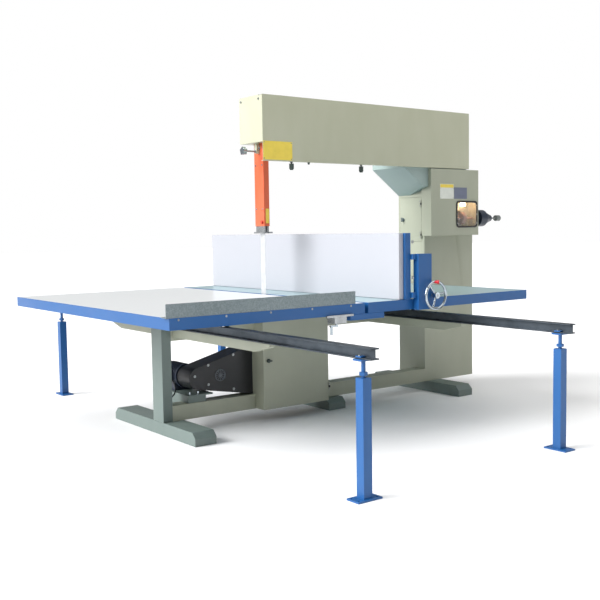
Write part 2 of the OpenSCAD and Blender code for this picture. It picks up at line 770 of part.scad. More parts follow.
module column_door() color("ivory") placed() difference() {
    union() {
        block([column_x, side_door_y + door_gap, side_door_z + door_gap],
            [column_x + sheet_t, side_door_y1 - door_gap, side_door_z1 - door_gap]);
        for (z = side_hinge_zs) {
            sleeves(side_hinge_x, side_hinge_y, z, knuckle_r);
            for (z0 = [z - hinge_l / 2, z + 10]) {
                block([side_hinge_x, side_hinge_y - 1, z0],
                    [column_x - 0.5, side_hinge_y + 2, z0 + 20]);
                block([column_x - sheet_t - 0.5, side_hinge_y - 1, z0],
                    [column_x - 0.5, side_door_y + 18, z0 + 20]);
                block([column_x - 1, side_door_y + 4, z0],
                    [column_x + 1, side_door_y + 18, z0 + 20]);
            }
        }
    }
    for (z = side_hinge_zs)
        rod_z(z - hinge_l, z + hinge_l, side_hinge_x, side_hinge_y, hinge_r + run_fit);
    rod_x(column_x - e, column_x + 9, side_lock_y, side_lock_z, latch_r + run_fit);
}

module column_lock() color("silver") placed()
    translate([column_x, side_lock_y, side_lock_z]) rotate([0, 90, 0])
        quarter_latch(sheet_t, 30);

// The fixed halves of every hinge: a pin and the middle knuckle.
module hinge_pins() color("dimgray") placed() {
    for (x = cover_hinge_xs) {
        rod_x(x - hinge_l / 2, x + hinge_l / 2, cover_hinge_y, beam_top, hinge_r);
        rod_x(x - 9, x + 9, cover_hinge_y, beam_top, knuckle_r);
        block([x - 9, cover_hinge_y, beam_top], [x + 9, cover_hinge_y + 40, beam_top + 3]);
    }
    for (z = cabinet_hinge_zs) {
        rod_z(z - hinge_l / 2, z + hinge_l / 2, cabinet_hinge_x, 0, hinge_r);
        rod_z(z - 9, z + 9, cabinet_hinge_x, 0, knuckle_r);
        block([cabinet_x1, 4, z - 9], [cabinet_hinge_x, 16, z + 9]);
    }
    for (z = side_hinge_zs) {
        rod_z(z - hinge_l / 2, z + hinge_l / 2, side_hinge_x, side_hinge_y, hinge_r);
        rod_z(z - 9, z + 9, side_hinge_x, side_hinge_y, knuckle_r);
        block([side_hinge_x, side_hinge_y - 4, z - 9], [column_x, side_hinge_y + 2, z + 9]);
    }
}

// Beam cover ------------------------------------------------------------------------------

module beam_cover() color("darkseagreen") placed() difference() {
    union() {
        block([0, 0, cover_bottom], [beam_l, sheet_t, beam_top]);
        block([beam_wall + 1, 0, cover_bottom], [beam_l - beam_wall - 1, lip_d,
            cover_bottom + sheet_t]);
        block([beam_wall + 1, 0, beam_top - sheet_t], [beam_l - beam_wall - 1,
            cover_hinge_y - 12, beam_top]);
        for (x = cover_hinge_xs, s = [-1, 1]) {
            x0 = x + s * 20 - 10;
            rod_x(x0, x0 + 20, cover_hinge_y, beam_top, knuckle_r);
            block([x0, cover_hinge_y - 20, beam_top - 1], [x0 + 20, cover_hinge_y,
                beam_top + 3]);
        }
    }
    for (x = cover_hinge_xs)
        rod_x(x - hinge_l, x + hinge_l, cover_hinge_y, beam_top, hinge_r + run_fit);
    for (x = latch_xs)
        rod_z(cover_bottom - e, cover_bottom + 5, x, latch_y, latch_r + run_fit);
}

// A hanging knob that turns a small cam above the cover's lower lip.
module cover_latch(x) placed() translate([x, latch_y, cover_bottom]) {
    rod_z(-latch_neck - e, sheet_t + 6, 0, 0, latch_r);
    translate([0, 0, -latch_drop]) cylinder(h = latch_taper, r1 = latch_r * 2, r2 = latch_knob_r);
    rod_z(latch_taper - latch_drop, -latch_neck, 0, 0, latch_knob_r);
    rod_z(-6, -0.5, 0, 0, latch_r * 2);
    block([-12, -5, sheet_t + 1], [12, 5, sheet_t + 4]);
}

module cover_latch_left() color("darkslategray") cover_latch(latch_xs[0]);
module cover_latch_right() color("darkslategray") cover_latch(latch_xs[1]);

// Blade guard -----------------------------------------------------------------------------

module blade_guard() color("orangered") placed() {
    block([guard_x, guard_y0, guard_z], [guard_x + guard_wall, guard_y9, guard_top]);
    for (y = [guard_y0, guard_y9 - guard_wall])
        block([guard_x, y, guard_z], [guard_x + guard_w, y + guard_wall, guard_top]);
}

module guide_foot() color("gray") placed() difference() {
    union() {
        block([guard_x + guard_wall, guard_y0 + guard_wall, guard_foot_z + 12],
            [guard_x + guard_w - 6, guard_y9 - guard_wall, guard_z + 40]);
        block([guard_x - 14, guard_y0 - 18, guard_foot_z],
            [guard_x + guard_w + 14, guard_y9, guard_foot_z + 12]);
    }
    block([blade_inset - 4, guard_y0 - 20, guard_foot_z - e],
        [blade_inset + 5, blade_y1 + 6, guard_z + 42]);
    // Pocket of the thrust roller, with its pin left standing
    difference() {
        block([guard_x + 9, blade_y1 - 2, guard_foot_z - e],
            [guard_x + guard_w - 11, thrust_y + thrust_r + 1.2, thrust_z + thrust_r + 2]);
        rod_x(guard_x, guard_x + guard_w, thrust_y, thrust_z, hinge_r);
    }
}

module thrust_roller() color("silver") placed() difference() {
    rod_x(guard_x + 10, guard_x + guard_w - 12, thrust_y, thrust_z, thrust_r);
    rod_x(guard_x, guard_x + guard_w, thrust_y, thrust_z, hinge_r + run_fit);
}

module guard_clamp_knob() color("lightsteelblue") placed()
    translate([guard_x, clamp_y, clamp_z]) rotate([0, -90, 0]) {
        rod_z(0.5, 130, 0, 0, latch_r);
        rod_z(26.5, 34, 0, 0, 12);
        rod_z(120, 150, 0, 0, 24);
        for (a = [0:72:288]) rod_z(122, 148, 23 * cos(a), 23 * sin(a), 9);
    }

// Table -----------------------------------------------------------------------------------

// One half of the table's frame, from x0 to x1: channel rim, runner, ribs and roller brackets.
module table_frame(x0, x1, rail_x) placed() {
    low = [x0, -table_front, rim_z];
    high = [x1, table_y1, table_z];
    rim = [rim_w, rim_w, 0];
    skin = [4, 4, 0];
    difference() {
        block(low, high);
        block(low + rim - [0, 0, e], high - rim + [0, 0, e]);
        block(low + skin + [0, 0, 4], high - skin - [0, 0, board_t + 4]);
        block([x0 + 4, -table_front + 4, table_z - board_t], high - skin + [0, 0, e]);
    }
    block([rail_x - 35, -table_front + 3, rim_z], [rail_x + 35, table_y1 - 3, rim_z + 10]);
    for (f = [0.16, 0.5, 0.84]) block([x0 + 3, -table_front + table_l * f - 20, rim_z + 9],
        [x1 - 3, -table_front + table_l * f + 20, table_z - board_t]);
    for (y = roller_ys) {
        for (s = [-1, 1]) block([rail_x + s * 29 - 5, y - 22, roller_z - 14],
            [rail_x + s * 29 + 5, y + 22, rim_z + 1]);
        rod_x(rail_x - 30, rail_x + 30, y, roller_z, 8);
    }
}

module table_frame_left() color("royalblue") table_frame(table_x, slot_x, rail_left_x);
module table_frame_right() color("royalblue") table_frame(slot_x1, table_x1, rail_right_x);

module table_bridge() color("royalblue") placed()
    block([blade_inset - bridge_reach, -table_front, rim_z - bridge_h],
        [blade_inset + bridge_reach + 20, -table_front + 95, rim_z]);

// A board let into the rim, cut back where a rack lies.
module table_board(x0, x1) placed() difference() {
    block([x0 + 4, -table_front + 4, table_z - board_t], [x1 - 4, table_y1 - 4, table_z]);
    if (x0 > blade_inset) for (y = [pinion_y, rear_pinion_y])
        block([rack_x() - 1, y - 7, table_z - board_t - e],
            [rack_x() + rack_l() + 1, y + rack_w + 7, table_z + e]);
}

module table_top_left() color("whitesmoke") table_board(table_x, slot_x);
module table_top_right() color("whitesmoke") table_board(slot_x1, table_x1);

module stop_angle() color("darkgray") placed() {
    x1 = table_x - 20 + stop_l;
    block([table_x - 20, -table_front, table_z], [x1, -table_front + 6, table_z + stop_h]);
    block([table_x - 20, -table_front, table_z], [x1, -table_front + 60, table_z + 6]);
}

// Rack and pinion with 20 degree involute teeth, thinned by the backlash.
backlash = 0.35;
tooth_pitch = PI * gear_m;
function rack_x() = shaft_x - fence_gap - 4 * tooth_pitch;
function rack_teeth() = ceil(fence_gap / tooth_pitch) + 9;
function rack_l() = rack_teeth() * tooth_pitch;
function involute(a) = tan(a) * 180 / PI - a;
function tooth_half(r) =
    let(base = pinion_r * cos(20), a = r > base ? acos(base / r) : 0)
    90 / pinion_teeth + involute(20) - involute(a) - backlash / 2 / pinion_r * 180 / PI;

module rack(y) across_y(y, y + rack_w) translate([rack_x(), pitch_z]) {
    root = 1.25 * gear_m;
    slope = tan(20);
    half = tooth_pitch / 4 - backlash / 2;
    low = half + root * slope;
    high = half - 0.9 * gear_m * slope;
    translate([0, -rack_drop]) square([rack_l(), rack_drop - root]);
    for (i = [0:rack_teeth() - 2]) translate([(i + 0.5) * tooth_pitch + rack_phase(), 0])
        polygon([[-low, -root], [low, -root], [high, 0.9 * gear_m], [-high, 0.9 * gear_m]]);
}

// The rack's teeth lie so that a gap is under the pinion's lowest tooth.
function rack_phase() =
    let(x = shaft_x - rack_x()) x - tooth_pitch * floor(x / tooth_pitch);

module fence_racks() color("darkgray") placed() for (y = [pinion_y, rear_pinion_y]) rack(y);

module pinion_outline() {
    root = pinion_r - 1.25 * gear_m;
    tip = pinion_r + 0.9 * gear_m;
    circle(root + 0.05);
    for (i = [0:pinion_teeth - 1]) rotate(-90 + i * 360 / pinion_teeth) polygon([
        for (s = [-1, 1], k = [0:4])
            let(r = s < 0 ? root - 0.5 + k * (tip - root + 0.5) / 4
                : tip - k * (tip - root + 0.5) / 4,
                a = s * tooth_half(max(r, root)))
            r * [cos(a), sin(a)]
    ]);
}

module table_lock() color("lightgray") placed() {
    block([lock_x - 110, -table_front - 16, rim_z - 8], [lock_x + 110, -table_front, rim_z + 6]);
    difference() {
        block([lock_x - 50, -table_front - 16, rim_z - 50], [lock_x + 50, lock_y + 30, rim_z]);
        rod_z(rim_z - 51, rim_z - 20, lock_x, lock_y, 8 + run_fit);
    }
}

module lock_crank() color("silver") placed() translate([lock_x, lock_y, rim_z]) {
    rod_z(-75, -22, 0, 0, 8);
    block([-52, -9, -75], [9, 9, -64]);
    rod_z(-124, -66, -42, 0, 9);
}

module rollers(y) placed() for (x = rail_xs) difference() {
    rod_x(x - 20, x + 20, y, roller_z, roller_r);
    rod_x(x - 21, x + 21, y, roller_z, 8 + run_fit);
}

module rollers_front() color("darkgray") rollers(roller_ys[0]);
module rollers_rear() color("darkgray") rollers(roller_ys[1]);

// Fence -----------------------------------------------------------------------------------

module fence_panel() color("whitesmoke") placed()
    block([fence_x, fence_y, table_z + slide_gap], [fence_x1, fence_y1, fence_top]);

module fence_frame() color("royalblue") placed() difference() {
    low = table_z + slide_gap;
    union() {
        // Bar at the panel's near end
        block([fence_x1, -table_front - 10, low], [fence_x1 + bar_w, -table_front + 30,
            fence_top]);
        // Wide post in front of the table, and its two links
        block([gate_x, -table_front - 55, rim_z - 3], [gate_x + gate_w, -table_front - 5,
            table_z + 311]);
        for (z = [low + 8, table_z + 273]) block([fence_x1 + bar_w - 2, -table_front - 35, z],
            [gate_x + 2, -table_front - 10, z + 38]);
        // Stiffeners behind the panel
        for (z = [table_z + 40, fence_top - 80]) block([fence_x1, -table_front + 25, z],
            [fence_x1 + 22, fence_y1 - 40, z + 40]);
        // Rear post and the plate that carries the shaft's far end
        block([fence_x1, fence_y1 - 45, low], [fence_x1 + 30, fence_y1 - 15, table_z + 290]);
        block([fence_x1, rear_pinion_y - 16, low + 2], [shaft_x + 26, rear_pinion_y - 4,
            shaft_z + 24]);
        // Front bearing
        block([gate_x + gate_w - 2, -table_front - 45, low], [shaft_x + 28, -table_front - 5,
            shaft_z + 24]);
    }
    rod_y(-table_front - 56, rear_pinion_y, shaft_x, shaft_z, shaft_r + run_fit);
}

module fence_shaft() color("silver") placed() {
    rod_y(handwheel_y - 18, rear_pinion_y + rack_w, shaft_x, shaft_z, shaft_r);
    for (y = [pinion_y, rear_pinion_y])
        across_y(y, y + rack_w) translate([shaft_x, shaft_z]) pinion_outline();
}

module handwheel() color("silver") placed() {
    translate([shaft_x, handwheel_y, shaft_z]) rotate([90, 0, 0]) difference() {
        union() {
            rotate_extrude($fn = 96) translate([knob_r, 0]) circle(handwheel_rim);
            for (a = [10, 130, 250]) rotate([0, 90, a])
                cylinder(h = knob_r, r = 7);
            translate([0, 0, -16]) cylinder(h = 34, r = 22);
            // Spindle of the crank knob
            translate([knob_r * cos(knob_angle), knob_r * sin(knob_angle), 0])
                cylinder(h = 52, r = 5);
        }
        translate([0, 0, -17]) cylinder(h = 36, r = shaft_r + seat_fit);
    }
}

module crank_knob() color("firebrick") placed() translate([knob_x, handwheel_y, knob_z])
    rotate([90, 0, 0]) difference() {
        union() {
            translate([0, 0, 12]) cylinder(h = 26, r1 = 9, r2 = 13);
            translate([0, 0, 37]) sphere(13);
        }
        translate([0, 0, 11]) cylinder(h = 42, r = 5 + run_fit);
    }

// Sharpener -------------------------------------------------------------------------------

module housing_wall_cuts() {
    across_y(-e, sheet_t + e) rounded_rect(window_x + 18, window_z + 18, window_w - 36,
        window_h - 36, 20);
    rod_x(housing_x1 - 10, housing_x1 + 10, disc_y, disc_z, 12);
}

// A rectangle with round corners, in x and z.
module rounded_rect(x, z, w, h, r) translate([x, z]) {
    translate([r, 0]) square([w - 2 * r, h]);
    translate([0, r]) square([w, h - 2 * r]);
    for (i = [r, w - r], j = [r, h - r]) translate([i, j]) circle(r);
}

module grinder_housing() color("tan") placed() difference() {
    block([housing_x, 0, housing_z], [housing_x1, column_y, housing_z1]);
    block([housing_x + sheet_t, sheet_t, housing_z + sheet_t],
        [housing_x1 - sheet_t, column_y + e, housing_z1 - sheet_t]);
    housing_wall_cuts();
}

module window_frame() color("dimgray") placed() across_y(-7, 0) difference() {
    rounded_rect(window_x, window_z, window_w, window_h, 34);
    rounded_rect(window_x + 16, window_z + 16, window_w - 32, window_h - 32, 22);
}

module window_glass() color("lightyellow") placed() across_y(-4, 0)
    rounded_rect(window_x + 16, window_z + 16, window_w - 32, window_h - 32, 22);

// A grinding disc on its spindle, from the disc at x0 towards the motor at x1.
module disc_on_spindle(x0, x1, r) {
    rod_x(x0, x0 + disc_t, disc_y, disc_z, disc_r);
    rod_x(min(x0, x1), max(x0 + disc_t, x1), disc_y, disc_z, r);
}

module grinding_disc_right() color("darkgray") placed()
    disc_on_spindle(blade_right_x + blade_t + disc_gap, housing_x1 + 30, 8);

module grinding_disc_left() color("darkgray") placed()
    disc_on_spindle(blade_right_x - disc_gap - disc_t, window_x + 66, 8);

module grinder_motors() color("midnightblue") placed() difference() {
    union() {
        // Outer motor, on the housing's right side, narrowing to the adjusting screw
        rod_x(housing_x1, column_x1 + 4, disc_y, disc_z, column_y - disc_y - 2);
        rod_x(column_x1 + 4, column_x1 + 84, disc_y, disc_z, 75);
        translate([column_x1 + 83, disc_y, disc_z]) rotate([0, 90, 0])
            cylinder(h = 90, r1 = 68, r2 = 34);
        rod_x(column_x1 + 172, column_x1 + 190, disc_y, disc_z, 30);
        // Inner motor, on a bracket inside the housing
        rod_x(window_x + 8, window_x + 70, disc_y, disc_z, 34);
        block([window_x + 20, disc_y - 10, disc_z - 40], [window_x + 58, column_y,
            disc_z - 20]);
    }
    rod_x(housing_x1 - e, housing_x1 + 34, disc_y, disc_z, 8 + run_fit);
    rod_x(window_x + 62, window_x + 71, disc_y, disc_z, 8 + run_fit);
    rod_x(column_x1 + 170, column_x1 + 191, disc_y, disc_z, 7 + run_fit);
}

module adjust_knob() color("gray") placed() {
    rod_x(column_x1 + 174, machine_right() - 50, disc_y, disc_z, 7);
    rod_x(machine_right() - 52, machine_right(), disc_y, disc_z, 27);
}

module inspection_lamp() color("moccasin") placed() {
    rod_z(window_z1 - 26, housing_z1 - sheet_t, window_x + window_w / 2, column_y / 2, 9);
    translate([window_x + window_w / 2, column_y / 2, window_z1 - 30]) sphere(18);
}

base_beam();
end_post();
cross_beam();
floor_feet();
column();
beam_box();
beam_root();
cabinet_shell();
belt_guard();
drive_motor();
motor_platform();
motor_cable();
drive_belt();
blade();
wheel_axles();
grinder_housing();
window_frame();
window_glass();
grinder_motors();
inspection_lamp();
rails();
support_posts();
post_jacks();
hinge_pins();
beam_cover();
cover_latch_left();
cover_latch_right();
cabinet_door();
cabinet_latch();
column_door();
column_lock();
blade_guard();
guide_foot();
thrust_roller();
guard_clamp_knob();
wheel_upper_left();
wheel_upper_right();
wheel_lower_right();
drive_wheel();
drive_shaft();
motor_pulley();
table_frame_left();
table_frame_right();
table_bridge();
table_top_left();
table_top_right();
stop_angle();
fence_racks();
table_lock();
lock_crank();
rollers_front();
rollers_rear();
fence_panel();
fence_frame();
fence_shaft();
handwheel();
crank_knob();
grinding_disc_left();
grinding_disc_right();
adjust_knob();
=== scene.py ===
"""A vertical band-knife saw for foam blocks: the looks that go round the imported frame.

The frame holds every working part at its real size. This script dresses each
part in its real finish, rounds the pressed and folded edges, and adds the small
hardware: name plates, bolts, screws, catches and fan guards. Lengths are in metres.
"""

import json
import logging
import math
from dataclasses import dataclass, field
from enum import Enum
from itertools import product
from typing import Any, Sequence

import bmesh
import bpy
from mathutils import Matrix, Vector

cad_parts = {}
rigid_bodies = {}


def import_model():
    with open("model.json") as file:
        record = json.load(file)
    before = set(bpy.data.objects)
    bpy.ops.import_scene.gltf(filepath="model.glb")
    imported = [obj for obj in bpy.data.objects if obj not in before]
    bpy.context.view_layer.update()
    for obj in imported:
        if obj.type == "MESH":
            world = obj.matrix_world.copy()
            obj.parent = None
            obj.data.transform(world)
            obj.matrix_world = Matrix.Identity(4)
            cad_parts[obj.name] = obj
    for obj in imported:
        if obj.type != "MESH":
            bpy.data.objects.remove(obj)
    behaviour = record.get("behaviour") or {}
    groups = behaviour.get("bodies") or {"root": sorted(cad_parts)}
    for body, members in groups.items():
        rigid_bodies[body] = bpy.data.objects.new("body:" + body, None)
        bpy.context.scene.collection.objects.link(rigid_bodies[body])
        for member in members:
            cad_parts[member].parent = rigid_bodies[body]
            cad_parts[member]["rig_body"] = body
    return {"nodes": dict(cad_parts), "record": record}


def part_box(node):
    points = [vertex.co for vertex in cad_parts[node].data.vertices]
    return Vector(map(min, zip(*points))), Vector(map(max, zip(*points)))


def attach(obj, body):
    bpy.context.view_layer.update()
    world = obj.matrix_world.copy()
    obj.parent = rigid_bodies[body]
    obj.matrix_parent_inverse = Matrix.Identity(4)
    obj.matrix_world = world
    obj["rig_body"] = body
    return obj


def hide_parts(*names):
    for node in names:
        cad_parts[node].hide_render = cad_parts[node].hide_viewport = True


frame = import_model()
log = logging.getLogger("foam_saw")

MM = 0.001
MERGE_GAP = 0.02 * MM
ROUND_ANGLE = math.radians(28)
EDGE_ANGLE = math.radians(34)
FLAT_ANGLE = math.radians(0.6)

Point = tuple[float, float, float]
Span = tuple[float, float]
Colour = tuple[float, float, float, float]
Place = float | None
Row = tuple[tuple[Place, ...], tuple[Place, ...], tuple[Place, ...]]

RESIN_IOR = 1.5
WHOLE: Span = (0.0, 1.0)
TO_FRONT: Point = (0.0, -1.0, 0.0)
TO_LEFT: Point = (-1.0, 0.0, 0.0)
UPWARD: Point = (0.0, 0.0, 1.0)


class Axis(Enum):
    """The direction that a turned, brushed or ribbed part runs in."""

    X = 0
    Y = 1
    Z = 2


# ---------------------------------------------------------------- colour and nodes


def linear(code: str) -> Colour:
    """Turns an sRGB hex colour into the linear colour that a shader takes.

    Args:
        code: Six hex digits, with or without a leading hash.

    Returns:
        Red, green, blue and an alpha of one.
    """
    digits = code.lstrip("#")
    parts = [int(digits[i : i + 2], 16) / 255 for i in (0, 2, 4)]
    low = [c / 12.92 if c <= 0.04045 else ((c + 0.055) / 1.055) ** 2.4 for c in parts]
    return (low[0], low[1], low[2], 1.0)


def feed(tree: bpy.types.NodeTree, node: bpy.types.Node, feeds: dict[Any, Any]) -> None:
    """Links or sets the inputs of a node.

    Args:
        tree: The tree that the node is in.
        node: The node.
        feeds: For each input name or number, a socket to link or a value to set.
    """
    for name, value in feeds.items():
        socket = node.inputs[name]
        if isinstance(value, bpy.types.NodeSocket):
            tree.links.new(value, socket)
        else:
            socket.default_value = value


def add(
    tree: bpy.types.NodeTree,
    kind: str,
    settings: dict[str, Any] | None = None,
    feeds: dict[Any, Any] | None = None,
) -> bpy.types.Node:
    """Adds one node to a tree, with its settings and what feeds its sockets.

    Args:
        tree: The shader or geometry tree.
        kind: The node's type name.
        settings: The node's own properties. "stops" fills a colour ramp.
        feeds: For each input name or number, a socket to link or a value to set.

    Returns:
        The new node.
    """
    node = tree.nodes.new(kind)
    for key, value in (settings or {}).items():
        if key == "stops":
            for stop, (place, colour) in zip(node.color_ramp.elements, value):
                stop.position = place
                stop.color = colour
        else:
            setattr(node, key, value)
    feed(tree, node, feeds or {})
    return node


def times(tree: bpy.types.NodeTree, first: Any, second: Any) -> Any:
    """Multiplies two sockets, or a socket and a number."""
    both = add(tree, "ShaderNodeMath", {"operation": "MULTIPLY"}, {0: first, 1: second})
    return both.outputs[0]


# ---------------------------------------------------------------- finishes


@dataclass(frozen=True)
class Pattern:
    """Adds the nodes of one material's pattern to its tree.

    Attributes:
        tree: The material's tree.
    """

    tree: bpy.types.NodeTree

    def place(self, stretch: Point = (1, 1, 1)) -> Any:
        """Gives the coordinates of the surface, stretched for a grain.

        Args:
            stretch: How often the pattern repeats along each axis.

        Returns:
            The vector socket to feed a texture.
        """
        where = add(self.tree, "ShaderNodeTexCoord").outputs["Object"]
        feeds = {"Vector": where, "Scale": stretch}
        return add(self.tree, "ShaderNodeMapping", feeds=feeds).outputs["Vector"]

    def drawn_out(self, along: Axis | None, by: float) -> Any:
        """Gives coordinates that draw a grain out along one axis.

        Args:
            along: The axis, or None for an even grain.
            by: How often the pattern repeats along it; under one draws it out.

        Returns:
            The vector socket to feed a texture.
        """
        return self.place(tuple(by if axis is along else 1.0 for axis in Axis))

    def noise(self, size: float, where: Any, detail: float = 3.0) -> Any:
        """Gives an even noise whose grains are about one size.

        Args:
            size: The grain, in metres.
            where: The coordinates to read.
            detail: How many finer layers lie on it.

        Returns:
            The noise's factor socket, from 0 to 1.
        """
        feeds = {"Vector": where, "Scale": 1 / size, "Detail": detail}
        return add(self.tree, "ShaderNodeTexNoise", feeds=feeds).outputs["Fac"]

    def blend(self, amount: Any, first: Colour, second: Colour) -> Any:
        """Mixes two colours by a pattern.

        Args:
            amount: The socket that says how much of the second colour shows.
            first: The colour where the pattern is 0.
            second: The colour where the pattern is 1.

        Returns:
            The mixed colour's socket.
        """
        feeds = {"Factor": amount, 6: first, 7: second}
        return add(self.tree, "ShaderNodeMix", {"data_type": "RGBA"}, feeds).outputs[2]

    def ramp(self, value: Any, stops: list[tuple[float, Colour]]) -> Any:
        """Gives the colour that a ramp of two stops holds for a pattern's value.

        Args:
            value: The pattern's socket.
            stops: The two stops, each a place from 0 to 1 and a colour.

        Returns:
            The colour's socket.
        """
        node = add(self.tree, "ShaderNodeValToRGB", {"stops": stops}, {"Fac": value})
        return node.outputs["Color"]

    def spread(self, value: Any, taken: Span, given: Span) -> Any:
        """Stretches part of a pattern's range over another range.

        Args:
            value: The pattern's socket.
            taken: The part of the pattern's range that counts.
            given: The range that it is stretched over.

        Returns:
            The stretched value's socket.
        """
        names = ("From Min", "From Max", "To Min", "To Max")
        feeds = {"Value": value, **dict(zip(names, (*taken, *given)))}
        return add(self.tree, "ShaderNodeMapRange", feeds=feeds).outputs[0]

    def emboss(self, height: Any, strength: float, depth: float) -> Any:
        """Raises a pattern off the surface.

        Args:
            height: The pattern's socket.
            strength: How strongly it shows.
            depth: How high the pattern stands.

        Returns:
            The normal's socket.
        """
        feeds = {"Height": height, "Strength": strength, "Distance": depth}
        return add(self.tree, "ShaderNodeBump", feeds=feeds).outputs[0]


@dataclass(frozen=True)
class Finish:
    """What every finish shares: its name and one material, made on first use.

    Attributes:
        name: The maker's name for the finish.
        colour: Its main colour, as sRGB hex.
    """

    name: str
    colour: str

    def material(self) -> bpy.types.Material:
        """Gives the finish's material, and makes it the first time.

        Returns:
            The material, with its node tree built.
        """
        found = bpy.data.materials.get(self.name)
        if found is None:
            found = bpy.data.materials.new(self.name)
            found.use_nodes = True
            found.diffuse_color = linear(self.colour)
            tree = found.node_tree
            tree.nodes.clear()
            shader = add(tree, "ShaderNodeBsdfPrincipled")
            feeds = {"Surface": shader.outputs["BSDF"]}
            add(tree, "ShaderNodeOutputMaterial", feeds=feeds)
            feed(tree, shader, self.look(Pattern(tree)))
        return found

    def look(self, pattern: Pattern) -> dict[str, Any]:
        """Gives what feeds each input of the shader; each finish has its own."""
        raise NotImplementedError


@dataclass(frozen=True)
class MachineEnamel(Finish):
    """Two-part enamel, sprayed on folded steel sheet.

    It gives the eye an even colour with a low sheen, a soft pebble from the
    spray and slightly paler dusty patches that run down the sheet.

    Attributes:
        dust: The colour of foam dust and handling marks, as sRGB hex.
        roughness: How matt the clean paint is.
        haze: How much of the dust colour a patch takes.
        peel: The size of the spray's pebble. The real one is about 2 mm; it is
            drawn at 5 mm so that it shows from across the room.
        peel_depth: How high the pebble stands.
        peel_strength: How strongly the pebble shows.
        patch: The size of a dusty patch.
        run: How the dust runs: closer across the sheet than down it.
        dusty: The part of the pattern's range where dust gathers.
        sheen: How far patches fall below and rise above the clean roughness.
        lacquer: How much clear coat lies on the colour.
        lacquer_blur: How blurred the clear coat's reflection is.
    """

    dust: str = "#C9C7B8"
    roughness: float = 0.42
    haze: float = 0.18
    peel: float = 5 * MM
    peel_depth: float = 0.4 * MM
    peel_strength: float = 0.16
    patch: float = 350 * MM
    run: Point = (3, 3, 0.8)
    dusty: Span = (0.16, 0.42)
    sheen: Span = (-0.05, 0.1)
    lacquer: float = 0.12
    lacquer_blur: float = 0.25

    def look(self, pattern: Pattern) -> dict[str, Any]:
        """Lays dust over the paint and pebbles it.

        Args:
            pattern: What adds the nodes.

        Returns:
            What feeds each input of the shader.
        """
        where = pattern.place()
        broad = pattern.noise(self.patch, where, 4)
        streak = pattern.noise(self.patch, pattern.place(self.run))
        both = times(pattern.tree, broad, streak)
        amount = pattern.spread(both, self.dusty, (0, self.haze))
        blur = tuple(self.roughness + part for part in self.sheen)
        pebble = pattern.noise(self.peel, where, 1.5)
        return {
            "Base Color": pattern.blend(amount, linear(self.colour), linear(self.dust)),
            "Roughness": pattern.spread(broad, (0.3, 0.7), blur),
            "Normal": pattern.emboss(pebble, self.peel_strength, self.peel_depth),
            "IOR": RESIN_IOR,
            "Coat Weight": self.lacquer,
            "Coat Roughness": self.lacquer_blur,
        }


@dataclass(frozen=True)
class WorkedSteel(Finish):
    """Bare metal that was ground, drawn, rolled or plated.

    It gives the eye a metal reflection drawn out along the way it was worked,
    with darker handling marks where oil has dried.

    Attributes:
        shade: The darker colour of oil and handling, as sRGB hex.
        roughness: How blurred the reflection is.
        along: The way the metal was worked, or None for plating.
        marks: How strong the lines are, as a bump.
        line: The width of one working line. Real ones are 0.1 mm; they are
            drawn at 1.5 mm so that they show.
        line_depth: How deep a line looks.
        draw: How far a line is drawn out: the smaller, the longer.
        blotch: The size of a handling mark.
        oily: The part of the pattern's range where oil has dried.
        oil: How much of the darker colour a mark takes.
        polish: The least and most roughness along the lines, as shares.
    """

    shade: str = "#6B6E70"
    roughness: float = 0.3
    along: Axis | None = None
    marks: float = 0.12
    line: float = 1.5 * MM
    line_depth: float = 0.1 * MM
    draw: float = 0.02
    blotch: float = 120 * MM
    oily: Span = (0.4, 0.72)
    oil: float = 0.65
    polish: Span = (0.8, 1.25)

    def look(self, pattern: Pattern) -> dict[str, Any]:
        """Draws the working lines and the handling marks.

        Args:
            pattern: What adds the nodes.

        Returns:
            What feeds each input of the shader.
        """
        drawn = pattern.drawn_out(self.along, self.draw)
        grain = pattern.noise(self.line, drawn, 2)
        broad = pattern.noise(self.blotch, pattern.place(), 4)
        amount = pattern.spread(broad, self.oily, (0, self.oil))
        blur = tuple(self.roughness * share for share in self.polish)
        return {
            "Base Color": pattern.blend(
                amount, linear(self.colour), linear(self.shade)
            ),
            "Metallic": 1.0,
            "Roughness": pattern.spread(grain, (0.3, 0.7), blur),
            "Normal": pattern.emboss(grain, self.marks, self.line_depth),
        }


@dataclass(frozen=True)
class SpangledZinc(Finish):
    """Hot-dip galvanised steel angle.

    It gives the eye a dull grey metal broken into crystal flakes that each
    catch the light a little differently.

    Attributes:
        flake: The size of one zinc flake.
        dull: The colour of a dull flake, as sRGB hex.
        blur: The roughness of the brightest and the dullest flake.
        bare: How far the zinc is bare metal and not white bloom.
    """

    flake: float = 7 * MM
    dull: str = "#7A868A"
    blur: Span = (0.38, 0.55)
    bare: float = 0.85

    def look(self, pattern: Pattern) -> dict[str, Any]:
        """Colours each flake on its own.

        Args:
            pattern: What adds the nodes.

        Returns:
            What feeds each input of the shader.
        """
        feeds = {"Vector": pattern.place(), "Scale": 1 / self.flake}
        cells = add(pattern.tree, "ShaderNodeTexVoronoi", feeds=feeds)
        feeds = {"Color": cells.outputs["Color"]}
        level = add(pattern.tree, "ShaderNodeSeparateColor", feeds=feeds)
        tone, gloss = level.outputs[0], level.outputs[1]
        return {
            "Base Color": pattern.blend(tone, linear(self.colour), linear(self.dull)),
            "Roughness": pattern.spread(gloss, WHOLE, self.blur),
            "Metallic": self.bare,
        }


